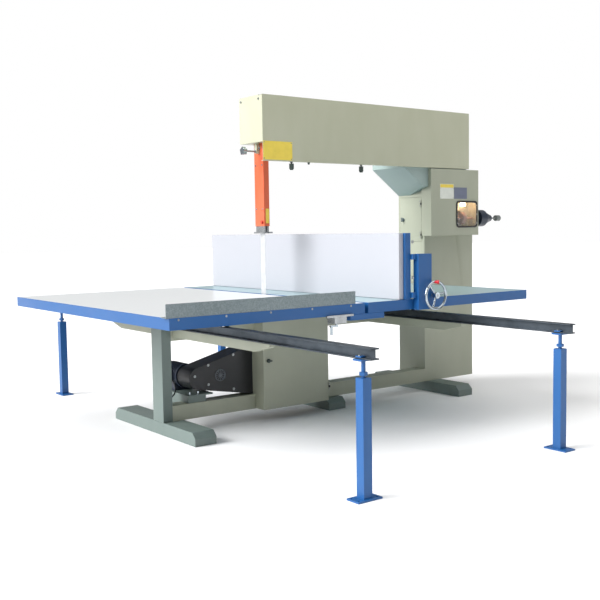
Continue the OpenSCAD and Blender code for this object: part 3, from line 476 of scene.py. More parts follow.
@dataclass(frozen=True)
class PressedLaminate(Finish):
    """High-pressure laminate, hot pressed on board: the table and fence faces.

    It gives the eye a glossy sheet with a wax-like coat, faint cloudy
    variation and fine scuffs along the way the foam slides.

    Attributes:
        scuff: The colour of a scuff, as sRGB hex.
        along: The way foam slides over it.
        roughness: How blurred its reflection is.
        scuff_w: The width of a scuff. Real ones are hairlines; they are drawn
            at 9 mm so that they show.
        draw: How far a scuff is drawn out: the smaller, the longer.
        cloud: The size of a cloudy patch.
        worn: The part of the pattern's range where scuffs gather.
        wear: How much of the scuff's colour they take.
        polish: The least and most roughness along the scuffs, as shares.
        wax: How much clear coat lies on the sheet.
        wax_blur: How blurred the clear coat's reflection is.
    """

    scuff: str = "#C8CCC9"
    along: Axis = Axis.Y
    roughness: float = 0.28
    scuff_w: float = 9 * MM
    draw: float = 0.015
    cloud: float = 260 * MM
    worn: Span = (0.2, 0.48)
    wear: float = 0.03
    polish: Span = (0.99, 1.015)
    wax: float = 0.25
    wax_blur: float = 0.2

    def look(self, pattern: Pattern) -> dict[str, Any]:
        """Clouds the sheet and scuffs it along the slide.

        Args:
            pattern: What adds the nodes.

        Returns:
            What feeds each input of the shader.
        """
        drawn = pattern.drawn_out(self.along, self.draw)
        scuffs = pattern.noise(self.scuff_w, drawn, 2)
        cloud = pattern.noise(self.cloud, pattern.place(), 4)
        both = times(pattern.tree, scuffs, cloud)
        amount = pattern.spread(both, self.worn, (0, self.wear))
        blur = tuple(self.roughness * share for share in self.polish)
        return {
            "Base Color": pattern.blend(
                amount, linear(self.colour), linear(self.scuff)
            ),
            "Roughness": pattern.spread(scuffs, (0.35, 0.65), blur),
            "IOR": RESIN_IOR,
            "Coat Weight": self.wax,
            "Coat Roughness": self.wax_blur,
        }


@dataclass(frozen=True)
class MouldedPlastic(Finish):
    """Moulded nylon or phenolic: knobs, caps and catches.

    It gives the eye a deep colour, a soft sheen and the fine texture of a
    spark-eroded mould.

    Attributes:
        roughness: How matt it is.
        grain: The mould's texture. Real texture is 0.2 mm; drawn at 1 mm.
        depth: How strongly the texture shows.
        relief: How high the texture stands.
        cloud: The size of a paler patch.
        fade: How much brighter a paler patch is, as a share.
        bloom: What a paler patch gains besides, on the darkest plastic too.
        sheen: How far the texture falls below and rises above the roughness.
    """

    roughness: float = 0.4
    grain: float = 1 * MM
    depth: float = 0.15
    relief: float = 0.2 * MM
    cloud: float = 40 * MM
    fade: float = 1.25
    bloom: float = 0.004
    sheen: Span = (-0.06, 0.08)

    def look(self, pattern: Pattern) -> dict[str, Any]:
        """Textures the mould face.

        Args:
            pattern: What adds the nodes.

        Returns:
            What feeds each input of the shader.
        """
        where = pattern.place()
        fine = pattern.noise(self.grain, where, 2)
        broad = pattern.noise(self.cloud, where)
        red, green, blue, _ = (
            min(1.0, part * self.fade + self.bloom) for part in linear(self.colour)
        )
        blur = tuple(self.roughness + part for part in self.sheen)
        return {
            "Base Color": pattern.blend(
                broad, linear(self.colour), (red, green, blue, 1.0)
            ),
            "Roughness": pattern.spread(fine, WHOLE, blur),
            "Normal": pattern.emboss(fine, self.depth, self.relief),
            "IOR": RESIN_IOR,
        }


@dataclass(frozen=True)
class BondedGrit(Finish):
    """Vitrified grinding wheel: grit fired in a clay bond.

    It gives the eye a rough, pale, speckled face.

    Attributes:
        grit: The size of one grain. Real grit is 0.4 mm; drawn at 2 mm.
        speck: The colour of the darker grains, as sRGB hex.
        relief: How high a grain stands.
        bite: How strongly the grains show.
        roughness: How matt it is.
    """

    grit: float = 2 * MM
    speck: str = "#8C6F66"
    relief: float = 0.6 * MM
    bite: float = 0.6
    roughness: float = 0.9

    def look(self, pattern: Pattern) -> dict[str, Any]:
        """Speckles and roughens the face.

        Args:
            pattern: What adds the nodes.

        Returns:
            What feeds each input of the shader.
        """
        fine = pattern.noise(self.grit, pattern.place(), 2)
        stops = [(0.4, linear(self.speck)), (0.6, linear(self.colour))]
        return {
            "Base Color": pattern.ramp(fine, stops),
            "Normal": pattern.emboss(fine, self.bite, self.relief),
            "Roughness": self.roughness,
        }


@dataclass(frozen=True)
class ClearSheet(Finish):
    """Clear polycarbonate sheet over the grinding window.

    It gives the eye a sharp reflection over whatever is lit behind it, with
    a light haze of grinding dust.

    Attributes:
        clear: How much light passes.
        solid: How solid the sheet looks.
        film: The size of a dusty patch.
        dusty: The part of the pattern's range where dust gathers.
        blur: The roughness of the clean and of the dusty sheet.
        bend: The refractive index of polycarbonate as it is seen here.
    """

    clear: float = 0.94
    solid: float = 0.35
    film: float = 60 * MM
    dusty: Span = (0.4, 0.75)
    blur: Span = (0.02, 0.14)
    bend: float = 1.49

    def look(self, pattern: Pattern) -> dict[str, Any]:
        """Hazes the sheet with dust.

        Args:
            pattern: What adds the nodes.

        Returns:
            What feeds each input of the shader.
        """
        dust = pattern.noise(self.film, pattern.place(), 4)
        return {
            "Base Color": linear(self.colour),
            "Roughness": pattern.spread(dust, self.dusty, self.blur),
            "Transmission Weight": self.clear,
            "IOR": self.bend,
            "Alpha": self.solid,
        }


@dataclass(frozen=True)
class LitGlass(Finish):
    """Opal glass of a work lamp that is switched on.

    It gives the eye a warm glow, a little brighter at the middle of the tube.

    Attributes:
        power: How strongly it glows.
        pale: The colour of the paler glass, as sRGB hex.
        cloud: The size of a paler patch.
        roughness: How blurred its reflection is.
    """

    power: float = 60.0
    pale: str = "#FFE9D2"
    cloud: float = 30 * MM
    roughness: float = 0.3

    def look(self, pattern: Pattern) -> dict[str, Any]:
        """Makes the glass glow.

        Args:
            pattern: What adds the nodes.

        Returns:
            What feeds each input of the shader.
        """
        cloud = pattern.noise(self.cloud, pattern.place(), 1)
        stops = [(0.2, linear(self.pale)), (0.8, linear(self.colour))]
        return {
            "Base Color": pattern.ramp(cloud, stops),
            "Emission Color": linear(self.colour),
            "Emission Strength": self.power,
            "Roughness": self.roughness,
        }


# ---------------------------------------------------------------- the shop's finishes

COVER_ENAMEL = MachineEnamel("sprayed_enamel_sage", "#B0B29B", "#C9CABB", haze=0.16)
FRAME_ENAMEL = MachineEnamel("sprayed_enamel_olive", "#9FA391", "#BDBFAF", haze=0.16)
POST_ENAMEL = MachineEnamel("sprayed_enamel_blue_grey", "#65736F", "#85918B", haze=0.16)
TEAL_LAMINATE = PressedLaminate("pale_teal_pressed_laminate", "#93B1B7", "#86A3A9")
# Painted shade and painted reflection: the brace under the beam has the beam's own
# enamel; this bluish teal-grey stands for the shade and the sky's reflection on it.
BRACE_PAINTED_SHADE_ENAMEL = MachineEnamel(
    "painted_shade_enamel_teal_grey", "#93A5A2", "#AEBBB7", haze=0.12
)
GUARD_RED = MachineEnamel("sprayed_enamel_red", "#B8341F", "#CF6A57", 0.4, haze=0.1)
CAST_GREY = WorkedSteel(
    "cast_aluminium_grey", "#6E7378", "#4A4E52", 0.45, None, marks=0.05
)
TRACK_BLUE = MachineEnamel("sprayed_enamel_blue", "#0F528F", "#3F79A8", 0.4, haze=0.06)
GUARD_ORANGE = MachineEnamel(
    "sprayed_enamel_orange", "#CE5A34", "#DB9478", 0.36, haze=0.12
)
MOTOR_NAVY = MachineEnamel("sprayed_enamel_navy", "#1F2A3C", "#3C4656", 0.4)
GUARD_BLACK = MachineEnamel("powder_coat_black", "#131519", "#2B2D2F", 0.38)
RAIL_STEEL = WorkedSteel("cold_drawn_rail_steel", "#545B62", "#343A40", 0.42, Axis.Y)
GROUND_STEEL = WorkedSteel("ground_steel", "#B9BCBE", "#85898C", 0.28)
BLADE_STEEL = WorkedSteel("hardened_strip_steel", "#E2E4E6", "#C2C5C8", 0.42, Axis.Z)
CHROME = WorkedSteel(
    "bright_chrome_plate", "#B9C3CA", "#8E99A1", 0.14, None, marks=0.02
)
ZINC = SpangledZinc("hot_dip_zinc", "#8D989B")
TABLE_LAMINATE = PressedLaminate("white_pressed_laminate", "#DCDFE0", "#C6CACC")
FENCE_LAMINATE = PressedLaminate("grey_white_pressed_laminate", "#ABADB4", "#9DA0A7")
DARK_KNOB = MouldedPlastic("moulded_nylon_dark", "#33403C")
GREY_KNOB = MouldedPlastic("moulded_nylon_grey", "#6F7473")
RED_KNOB = MouldedPlastic("moulded_phenolic_red", "#B3202A", 0.28)
RUBBER = MouldedPlastic("moulded_rubber_black", "#17181A", 0.7, 1.5 * MM, 0.3)
GRIT = BondedGrit("bonded_grit", "#C9A79B")
PANE = ClearSheet("clear_polycarbonate", "#F7FAFA")
LAMP = LitGlass("lit_opal_glass", "#FFC9A0")
PLATE_WHITE = MouldedPlastic("printed_plate_white", "#C9CCC4", 0.35, 2 * MM, 0.05)
PLATE_YELLOW = MouldedPlastic("printed_plate_yellow", "#D9C24E", 0.35, 2 * MM, 0.05)
PLATE_SLATE = MouldedPlastic("printed_plate_slate", "#62697C", 0.35, 2 * MM, 0.05)
BOLT_STEEL = WorkedSteel("zinc_plated_bolt", "#A9ADAE", "#6F7372", 0.32)

SLOT_FINISH: dict[str, Finish] = {
    "sage_paint": COVER_ENAMEL,
    "beige_paint": FRAME_ENAMEL,
    "grey_paint": POST_ENAMEL,
    "blue_paint": TRACK_BLUE,
    "orange_paint": GUARD_ORANGE,
    "black_paint": GUARD_BLACK,
    "rail_steel": RAIL_STEEL,
    "bright_steel": GROUND_STEEL,
    "blade_steel": BLADE_STEEL,
    "galvanised": ZINC,
    "chrome_plate": CHROME,
    "laminate": TABLE_LAMINATE,
    "dark_knob": DARK_KNOB,
    "red_knob": RED_KNOB,
    "abrasive": GRIT,
    "rubber_black": RUBBER,
    "clear_pane": PANE,
    "lamp_glass": LAMP,
}


# ---------------------------------------------------------------- making pieces


def body_of_node(node: str) -> str:
    """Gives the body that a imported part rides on."""
    return frame["nodes"][node]["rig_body"]


def slot_of_node(node: str) -> str:
    """Gives the record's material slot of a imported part."""
    parts = frame["record"]["subparts"]
    return next(part["material_slot"] for part in parts if part["node"] == node)


def low(node: str) -> Vector:
    """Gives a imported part's lowest corner."""
    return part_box(node)[0]


def high(node: str) -> Vector:
    """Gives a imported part's highest corner."""
    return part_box(node)[1]


def link(name: str, mesh: bpy.types.Mesh) -> bpy.types.Object:
    """Puts a mesh in the scene as an object at the origin.

    Args:
        name: The object's name.
        mesh: Its mesh.

    Returns:
        The new object.
    """
    piece = bpy.data.objects.new(name, mesh)
    bpy.context.scene.collection.objects.link(piece)
    return piece


def finish_piece(
    piece: bpy.types.Object, body: str, finish: Finish | None = None
) -> bpy.types.Object:
    """Dresses a piece and makes it ride on a body.

    Args:
        piece: A mesh object at the origin, with its place in its mesh.
        body: The body that it moves with.
        finish: The finish, or None to keep the materials it has.

    Returns:
        The same piece.
    """
    if finish is not None:
        piece.data.materials.clear()
        piece.data.materials.append(finish.material())
    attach(piece, body)
    log.info("%s rides on %s, %d faces", piece.name, body, len(piece.data.polygons))
    return piece


def new_piece(name: str, shape: bmesh.types.BMesh) -> bpy.types.Object:
    """Turns a finished shape into an object in the scene.

    Args:
        name: The piece's name.
        shape: The mesh being built; it is freed here.

    Returns:
        The new object, at the origin.
    """
    mesh = bpy.data.meshes.new(name)
    shape.to_mesh(mesh)
    shape.free()
    return link(name, mesh)


def smooth(piece: bpy.types.Object) -> None:
    """Shades a piece smooth, but keeps its edges crisp."""
    piece.data.polygons.foreach_set("use_smooth", [True] * len(piece.data.polygons))
    piece.data.set_sharp_from_angle(angle=ROUND_ANGLE)


def soften(piece: bpy.types.Object, radius: float, segments: int = 2) -> None:
    """Rounds a piece's crisp edges as a press or a file leaves them.

    Args:
        piece: The piece to round.
        radius: The edge radius.
        segments: How many faces go round the radius.
    """
    bevel = piece.modifiers.new("edge radius", "BEVEL")
    bevel.width = radius
    bevel.segments = segments
    bevel.limit_method = "ANGLE"
    bevel.angle_limit = EDGE_ANGLE
    bevel.harden_normals = True
    bevel.use_clamp_overlap = True
    bevel.miter_outer = "MITER_ARC"


def rounded_copy(node: str, radius: float, finish: Finish) -> bpy.types.Object:
    """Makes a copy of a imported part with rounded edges, which stands for it.

    Args:
        node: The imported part.
        radius: The edge radius; it only takes material off.
        finish: The copy's finish.

    Returns:
        The copy, riding on the part's body.
    """
    shape = bmesh.new()
    shape.from_mesh(frame["nodes"][node].data)
    bmesh.ops.remove_doubles(shape, verts=shape.verts, dist=MERGE_GAP)
    bmesh.ops.dissolve_limit(
        shape, angle_limit=FLAT_ANGLE, verts=shape.verts, edges=shape.edges
    )
    piece = new_piece(f"{node}_skin", shape)
    smooth(piece)
    soften(piece, radius)
    finish_piece(piece, body_of_node(node), finish)
    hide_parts(node)
    return piece


def slab(lowest: Sequence[float], highest: Sequence[float]) -> bmesh.types.BMesh:
    """Starts a shape as a block.

    Args:
        lowest: The corner with the least of each coordinate.
        highest: The corner with the most.

    Returns:
        The closed block.
    """
    shape = bmesh.new()
    bmesh.ops.create_cube(shape, size=1)
    for vert in shape.verts:
        vert.co = Vector(
            highest[i] if vert.co[i] > 0 else lowest[i] for i in range(3)
        )
    return shape


def turned(
    profile: Sequence[tuple[float, float]], segments: int, place: Matrix
) -> bmesh.types.BMesh:
    """Turns a closed profile round its axis, as on a lathe.

    Args:
        profile: Pairs of radius and height. Either its first and last point lie
            on the axis, or the last is the same as the first.
        segments: How many faces go round.
        place: Where the turned shape goes; its axis is the third one.

    Returns:
        The closed shape.
    """
    shape = bmesh.new()
    steps = [2 * math.pi * k / segments for k in range(segments)]
    rings = []
    for radius, height in profile:
        if radius:
            spots = [
                (radius * math.cos(a), radius * math.sin(a), height) for a in steps
            ]
        else:
            spots = [(0, 0, height)]
        rings.append([shape.verts.new(spot) for spot in spots])
    for under, over in zip(rings, rings[1:]):
        for k in range(segments):
            a, b = under[k % len(under)], under[(k + 1) % len(under)]
            c, d = over[(k + 1) % len(over)], over[k % len(over)]
            corners = list(dict.fromkeys((a, b, c, d)))
            if len(corners) > 2:
                shape.faces.new(corners)
    bmesh.ops.recalc_face_normals(shape, faces=shape.faces)
    shape.transform(place)
    return shape


def merge(source: bmesh.types.BMesh, into: bmesh.types.BMesh) -> None:
    """Adds one shape to another.

    Args:
        source: The shape to add; it is freed here.
        into: The shape that takes it.
    """
    scratch = bpy.data.meshes.new("scratch")
    source.to_mesh(scratch)
    source.free()
    into.from_mesh(scratch)
    bpy.data.meshes.remove(scratch)


def facing(direction: Sequence[float], spot: Sequence[float]) -> Matrix:
    """Gives the place of a part that stands on a face.

    Args:
        direction: Where the part's own third axis points.
        spot: The point on the face.

    Returns:
        The matrix that turns and moves it there.
    """
    turn = Vector(direction).to_track_quat("Z", "Y").to_matrix().to_4x4()
    return Matrix.Translation(Vector(spot)) @ turn


def places_on(part: str, axis: Axis, places: Sequence[Place]) -> list[float]:
    """Turns places on a part into coordinates.

    Args:
        part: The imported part.
        axis: The axis that the places lie along.
        places: Each is measured in from the part's low side, or from its high
            side if it is negative. None is the part's middle.

    Returns:
        The coordinate of each place.
    """
    near, far = low(part)[axis.value], high(part)[axis.value]
    return [
        (near + far) / 2 if place is None else place + (far if place < 0 else near)
        for place in places
    ]


class Head(Enum):
    """The heads of the fasteners, each by how many sides it shows."""

    HEX = 6
    SOCKET = 20


@dataclass(frozen=True)
class FastenerSet:
    """Equal bolts or screws on one part, set by a Geometry Nodes tree.

    Each point of a small mesh holds the way its head faces. The tree puts a
    washer and a head on every point.

    Attributes:
        name: The piece's name.
        part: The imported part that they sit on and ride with.
        way: The way that their heads face.
        rows: Where they sit: for each row, its places along the three axes, as
            places_on takes them. A fastener sits wherever they cross.
        across: The head's width over its corners.
        rise: The head's height.
        head: Which kind of head.
        finish: The bolts' finish.
        proud: How far off the part's face they sit, on a plate.
        washer_reach: The washer's radius, as a share of the head's width.
        washer_sides: How many faces go round the washer.
    """

    name: str
    part: str
    way: Point
    rows: tuple[Row, ...]
    across: float
    rise: float
    head: Head = Head.HEX
    finish: Finish = BOLT_STEEL
    proud: float = 0.0
    washer_reach: float = 0.68
    washer_sides: int = 20

    def disc(
        self, tree: bpy.types.NodeTree, sides: int, radius: Any, depth: Any
    ) -> Any:
        """Adds one flat cylinder to the tree.

        Args:
            tree: The geometry tree.
            sides: How many faces go round.
            radius: Its radius, as a socket.
            depth: Its thickness, as a socket.

        Returns:
            The mesh's socket.
        """
        feeds = {"Vertices": sides, "Radius": radius, "Depth": depth}
        return add(tree, "GeometryNodeMeshCylinder", feeds=feeds).outputs["Mesh"]

    def tree(self) -> bpy.types.NodeTree:
        """Builds the tree that puts a washer and a head on each point.

        Returns:
            A geometry tree with inputs for the head's width and height.
        """
        tree = bpy.data.node_groups.new(f"{self.name}_tree", "GeometryNodeTree")
        for label, kind, way in (
            ("Points", "NodeSocketGeometry", "INPUT"),
            ("Across", "NodeSocketFloat", "INPUT"),
            ("Rise", "NodeSocketFloat", "INPUT"),
            ("Bolts", "NodeSocketGeometry", "OUTPUT"),
        ):
            tree.interface.new_socket(label, in_out=way, socket_type=kind)
        given = add(tree, "NodeGroupInput")
        across, rise = given.outputs["Across"], given.outputs["Rise"]
        half_rise = times(tree, rise, 0.5)
        reach = times(tree, across, self.washer_reach)
        washer = self.disc(tree, self.washer_sides, reach, half_rise)
        top = self.disc(tree, self.head.value, times(tree, across, 0.5), rise)
        up = add(tree, "ShaderNodeCombineXYZ", feeds={"Z": half_rise})
        raised = add(
            tree,
            "GeometryNodeTransform",
            feeds={"Geometry": top, "Translation": up.outputs[0]},
        )
        both = add(tree, "GeometryNodeJoinGeometry", feeds={0: washer})
        tree.links.new(raised.outputs[0], both.inputs[0])
        faces = add(
            tree,
            "GeometryNodeInputNamedAttribute",
            {"data_type": "FLOAT_VECTOR"},
            {"Name": "faces"},
        )
        turn = add(
            tree,
            "FunctionNodeAlignRotationToVector",
            {"axis": "Z"},
            {"Vector": faces.outputs["Attribute"]},
        )
        seat = add(
            tree,
            "GeometryNodeInstanceOnPoints",
            feeds={
                "Points": given.outputs["Points"],
                "Instance": both.outputs[0],
                "Rotation": turn.outputs[0],
            },
        )
        real = add(
            tree, "GeometryNodeRealizeInstances", feeds={"Geometry": seat.outputs[0]}
        )
        painted = add(
            tree,
            "GeometryNodeSetMaterial",
            feeds={"Geometry": real.outputs[0], "Material": self.finish.material()},
        )
        add(tree, "NodeGroupOutput", feeds={"Bolts": painted.outputs[0]})
        return tree

    def seats(self) -> list[Vector]:
        """Gives the point under each fastener.

        Returns:
            The points, one row after another.
        """
        lift = Vector(self.way) * self.proud
        return [
            Vector(spot) + lift
            for row in self.rows
            for spot in product(
                *(places_on(self.part, axis, row[axis.value]) for axis in Axis)
            )
        ]

    def fit(self) -> bpy.types.Object:
        """Puts the fasteners in place as one plain mesh.

        Returns:
            The piece, riding with its part.
        """
        seats = self.seats()
        points = bpy.data.meshes.new(f"{self.name}_points")
        points.from_pydata(seats, [], [])
        ways = points.attributes.new("faces", "FLOAT_VECTOR", "POINT")
        ways.data.foreach_set("vector", self.way * len(seats))
        maker = link(f"{self.name}_maker", points)
        modifier = maker.modifiers.new("tree", "NODES")
        modifier.node_group = self.tree()
        sizes = {"Across": self.across, "Rise": self.rise}
        for item in modifier.node_group.interface.items_tree:
            if item.in_out == "INPUT" and item.name in sizes:
                modifier[item.identifier] = sizes[item.name]
        graph = bpy.context.evaluated_depsgraph_get()
        plain = bpy.data.meshes.new_from_object(maker.evaluated_get(graph))
        plain.name = self.name
        bpy.data.objects.remove(maker)
        piece = link(self.name, plain)
        smooth(piece)
        return finish_piece(piece, body_of_node(self.part))


@dataclass(frozen=True)
class NamePlate:
    """A thin plate with no words, riveted to the front of a part.

    Attributes:
        name: The piece's name.
        part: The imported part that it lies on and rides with.
        across: Its left and right edges, in from the part's left side.
        upright: Its lower and upper edges, up from the part's lower side.
        finish: The plate's finish.
        thick: The plate's thickness.
        round: Its edge radius, as a share of its thickness.
    """

    name: str
    part: str
    across: Span
    upright: Span
    finish: Finish
    thick: float = 1.2 * MM
    round: float = 0.4

    def lay(self) -> bpy.types.Object:
        """Lays the plate on its part.

        Returns:
            The plate.
        """
        x0, x1 = places_on(self.part, Axis.X, self.across)
        z0, z1 = places_on(self.part, Axis.Z, self.upright)
        face = low(self.part).y
        plate = new_piece(self.name, slab((x0, face - self.thick, z0), (x1, face, z1)))
        soften(plate, self.thick * self.round, 1)
        return finish_piece(plate, body_of_node(self.part), self.finish)


# ---------------------------------------------------------------- sub-assemblies


@dataclass
class SubAssembly:
    """What every sub-assembly shares: its parts, its plates and its fasteners.

    Attributes:
        title: What a fitter calls it.
        edges: The edge radius of each part that gets a rounded copy.
        kept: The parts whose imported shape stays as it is.
        finishes: The finish of a part, where it isn't its slot's own.
        plates: The plates on its panels.
        fasteners: Its bolts, screws and rivets.
    """

    title: str = ""
    edges: dict[str, float] = field(default_factory=dict)
    kept: tuple[str, ...] = ()
    finishes: dict[str, Finish] = field(default_factory=dict)
    plates: tuple[NamePlate, ...] = ()
    fasteners: tuple[FastenerSet, ...] = ()

    def finish_of(self, node: str) -> Finish:
        """Gives a part's finish, its own or its slot's."""
        return self.finishes.get(node, SLOT_FINISH[slot_of_node(node)])

    def dress(self) -> None:
        """Rounds and dresses the parts of this sub-assembly."""
        for node in self.kept:
            for seat in frame["nodes"][node].material_slots:
                seat.material = self.finish_of(node).material()
        for node, radius in self.edges.items():
            rounded_copy(node, radius, self.finish_of(node))

    def extras(self) -> None:
        """Adds small parts of its own shape; some sub-assemblies have none."""

    def build(self) -> None:
        """Dresses the parts and adds the plates, the small parts and the bolts."""
        self.dress()
        for plate in self.plates:
            plate.lay()
        self.extras()
        for fastener in self.fasteners:
            fastener.fit()
        log.info("%s is built", self.title)


@dataclass
class CuttingHead(SubAssembly):
    """The hinged upper beam with its cover, the blade and the blade's guard.

    Attributes:
        catch_place: Where the cover's catch hangs, from the cover's low corner.
        catch_profile: The catch's radii and heights.
    """

    title: str = "cutting head"
    edges: dict[str, float] = field(
        default_factory=lambda: {
            "beam_cover": 4 * MM,
            "beam_box": 5 * MM,
            "beam_root": 5 * MM,
            "blade_guard": 1.5 * MM,
            "guide_foot": 1.5 * MM,
            "cover_latch_left": 1 * MM,
            "cover_latch_right": 1 * MM,
            "guard_clamp_knob": 2 * MM,
        }
    )
    kept: tuple[str, ...] = (
        "blade",
        "wheel_axles",
        "wheel_upper_left",
        "wheel_upper_right",
        "wheel_lower_right",
        "thrust_roller",
    )
    # The beam's root brace takes the teal-grey of painted shade and painted reflection
    # in place of its own enamel.
    finishes: dict[str, Finish] = field(
        default_factory=lambda: {"beam_root": BRACE_PAINTED_SHADE_ENAMEL}
    )
    plates: tuple[NamePlate, ...] = (
        NamePlate(
            "cover_notice",
            "beam_cover",
            across=(2 * MM, 270 * MM),
            upright=(8 * MM, 146 * MM),
            finish=PLATE_YELLOW,
        ),
        NamePlate(
            "guard_tag",
            "blade_guard",
            across=(15 * MM, 45 * MM),
            upright=(22 * MM, 132 * MM),
            finish=PLATE_YELLOW,
        ),
    )
    fasteners: tuple[FastenerSet, ...] = (
        FastenerSet(
            "notice_rivets",
            "beam_cover",
            TO_FRONT,
            rows=(((11 * MM, 261 * MM), (0,), (17 * MM, 137 * MM)),),
            across=7 * MM,
            rise=1.6 * MM,
            head=Head.SOCKET,
            proud=1.2 * MM,
        ),
        FastenerSet(
            "guard_clamp_bolts",
            "blade_guard",
            TO_LEFT,
            rows=(((0,), (24 * MM,), (30 * MM,)),),
            across=22 * MM,
            rise=12 * MM,
            finish=GUARD_RED,
        ),
        FastenerSet(
            "guard_screws",
            "blade_guard",
            TO_LEFT,
            rows=(((0,), (18 * MM, -18 * MM), (130 * MM, -190 * MM)),),
            across=12 * MM,
            rise=4 * MM,
            head=Head.SOCKET,
        ),
        FastenerSet(
            "beam_end_screws",
            "beam_box",
            TO_LEFT,
            rows=(((0,), (45 * MM, -25 * MM), (30 * MM, -30 * MM)),),
            across=14 * MM,
            rise=5 * MM,
        ),
    )
    catch_place: Point = (439 * MM, 18 * MM, 0)
    catch_profile: tuple[Span, ...] = (
        (0, -16 * MM),
        (6.3 * MM, -16 * MM),
        (9 * MM, -9 * MM),
        (9 * MM, -2 * MM),
        (13.5 * MM, 0),
        (0, 0),
    )

    def extras(self) -> None:
        """Hangs the small catch under the cover's lip."""
        place = Matrix.Translation(low("beam_cover") + Vector(self.catch_place))
        piece = new_piece("cover_catch", turned(self.catch_profile, 24, place))
        smooth(piece)
        finish_piece(piece, "cover", DARK_KNOB)


@dataclass
class DriveSide(SubAssembly):
    """The lower cabinet, the belt drive and its motor.

    Attributes:
        vent_x: How far the vent's middle lies from the belt guard's left end.
        vent_drop: How far it lies below the guard's middle.
        rim_profile: The radii and heights of the vent's rim, all round.
        hub_profile: The radii and heights of the vent's hub.
        bar_low: The low corner of the vent's first bar, outward from the middle.
        bar_high: Its high corner.
        bars: How many bars the vent has.
        screw_places: Where the two tension screws stand, from the platform's
            left edge.
        screw_back: How far they stand behind the platform's front.
        screw_drop: How far their lower ends lie below the platform's top.
        screw_profile: A tension screw's radii and heights.
    """

    title: str = "drive side"
    edges: dict[str, float] = field(
        default_factory=lambda: {
            "base_beam": 4 * MM,
            "cabinet_shell": 3 * MM,
            "cabinet_door": 1 * MM,
            "cabinet_latch": 1.5 * MM,
            "belt_guard": 3 * MM,
            "motor_platform": 2 * MM,
            "drive_motor": 2 * MM,
        }
    )
    kept: tuple[str, ...] = (
        "drive_wheel",
        "drive_shaft",
        "motor_pulley",
        "drive_belt",
        "motor_cable",
        "hinge_pins",
    )
    finishes: dict[str, Finish] = field(
        default_factory=lambda: {"drive_motor": MOTOR_NAVY}
    )
    fasteners: tuple[FastenerSet, ...] = (
        FastenerSet(
            "belt_guard_bolts",
            "belt_guard",
            TO_FRONT,
            rows=(
                ((45 * MM,), (0,), (None,)),
                ((160 * MM,), (0,), (114.5 * MM, -114.5 * MM)),
                ((380 * MM,), (0,), (56.5 * MM, -56.5 * MM)),
            ),
            across=15 * MM,
            rise=5 * MM,
        ),
        FastenerSet(
            "door_screws",
            "cabinet_door",
            TO_FRONT,
            rows=(((-16 * MM,), (0,), (90 * MM, 130 * MM, 610 * MM, 650 * MM)),),
            across=10 * MM,
            rise=2.4 * MM,
            head=Head.SOCKET,
        ),
    )
    vent_x: float = 263 * MM
    vent_drop: float = 12 * MM
    rim_profile: tuple[Span, ...] = (
        (37 * MM, -1 * MM),
        (46 * MM, -1 * MM),
        (46 * MM, 3 * MM),
        (43 * MM, 6 * MM),
        (39 * MM, 6 * MM),
        (37 * MM, 3 * MM),
        (37 * MM, -1 * MM),
    )
    hub_profile: tuple[Span, ...] = (
        (0, -0.5 * MM),
        (13.8 * MM, -0.5 * MM),
        (11.96 * MM, 5 * MM),
        (0, 6 * MM),
    )
    bar_low: Point = (12.88 * MM, -2 * MM, -0.5 * MM)
    bar_high: Point = (38 * MM, 2 * MM, 3 * MM)
    bars: int = 12
    screw_places: Span = (26 * MM, 96 * MM)
    screw_back: float = 22 * MM
    screw_drop: float = 40 * MM
    screw_profile: tuple[Span, ...] = (
        (0, 0),
        (11 * MM, 0),
        (11 * MM, 8 * MM),
        (6 * MM, 8 * MM),
        (6 * MM, 52 * MM),
        (9 * MM, 52 * MM),
        (9 * MM, 60 * MM),
        (0, 62 * MM),
    )

    def vent(self) -> None:
        """Sets the round fan vent on the belt guard's face."""
        near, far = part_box("belt_guard")
        middle = (near.z + far.z) / 2 - self.vent_drop
        place = facing(TO_FRONT, (near.x + self.vent_x, near.y, middle))
        grille = bmesh.new()
        for k in range(self.bars):
            bar = slab(self.bar_low, self.bar_high)
            bar.transform(place @ Matrix.Rotation(2 * math.pi * k / self.bars, 4, "Z"))
            merge(bar, grille)
        merge(turned(self.hub_profile, 24, place), grille)
        rim = turned(self.rim_profile, 40, place)
        for name, shape in (("guard_vent_rim", rim), ("guard_vent_bars", grille)):
            piece = new_piece(name, shape)
            smooth(piece)
            finish_piece(piece, "root", CAST_GREY)

    def tension_screws(self) -> None:
        """Stands the belt's two tension screws on the motor platform."""
        near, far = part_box("motor_platform")
        y, z = near.y + self.screw_back, far.z - self.screw_drop
        screws = bmesh.new()
        for x in self.screw_places:
            place = Matrix.Translation((near.x + x, y, z))
            merge(turned(self.screw_profile, 20, place), screws)
        piece = new_piece("tension_screws", screws)
        smooth(piece)
        finish_piece(piece, "root", CHROME)

    def extras(self) -> None:
        """Adds the vent and the tension screws."""
        self.vent()
        self.tension_screws()


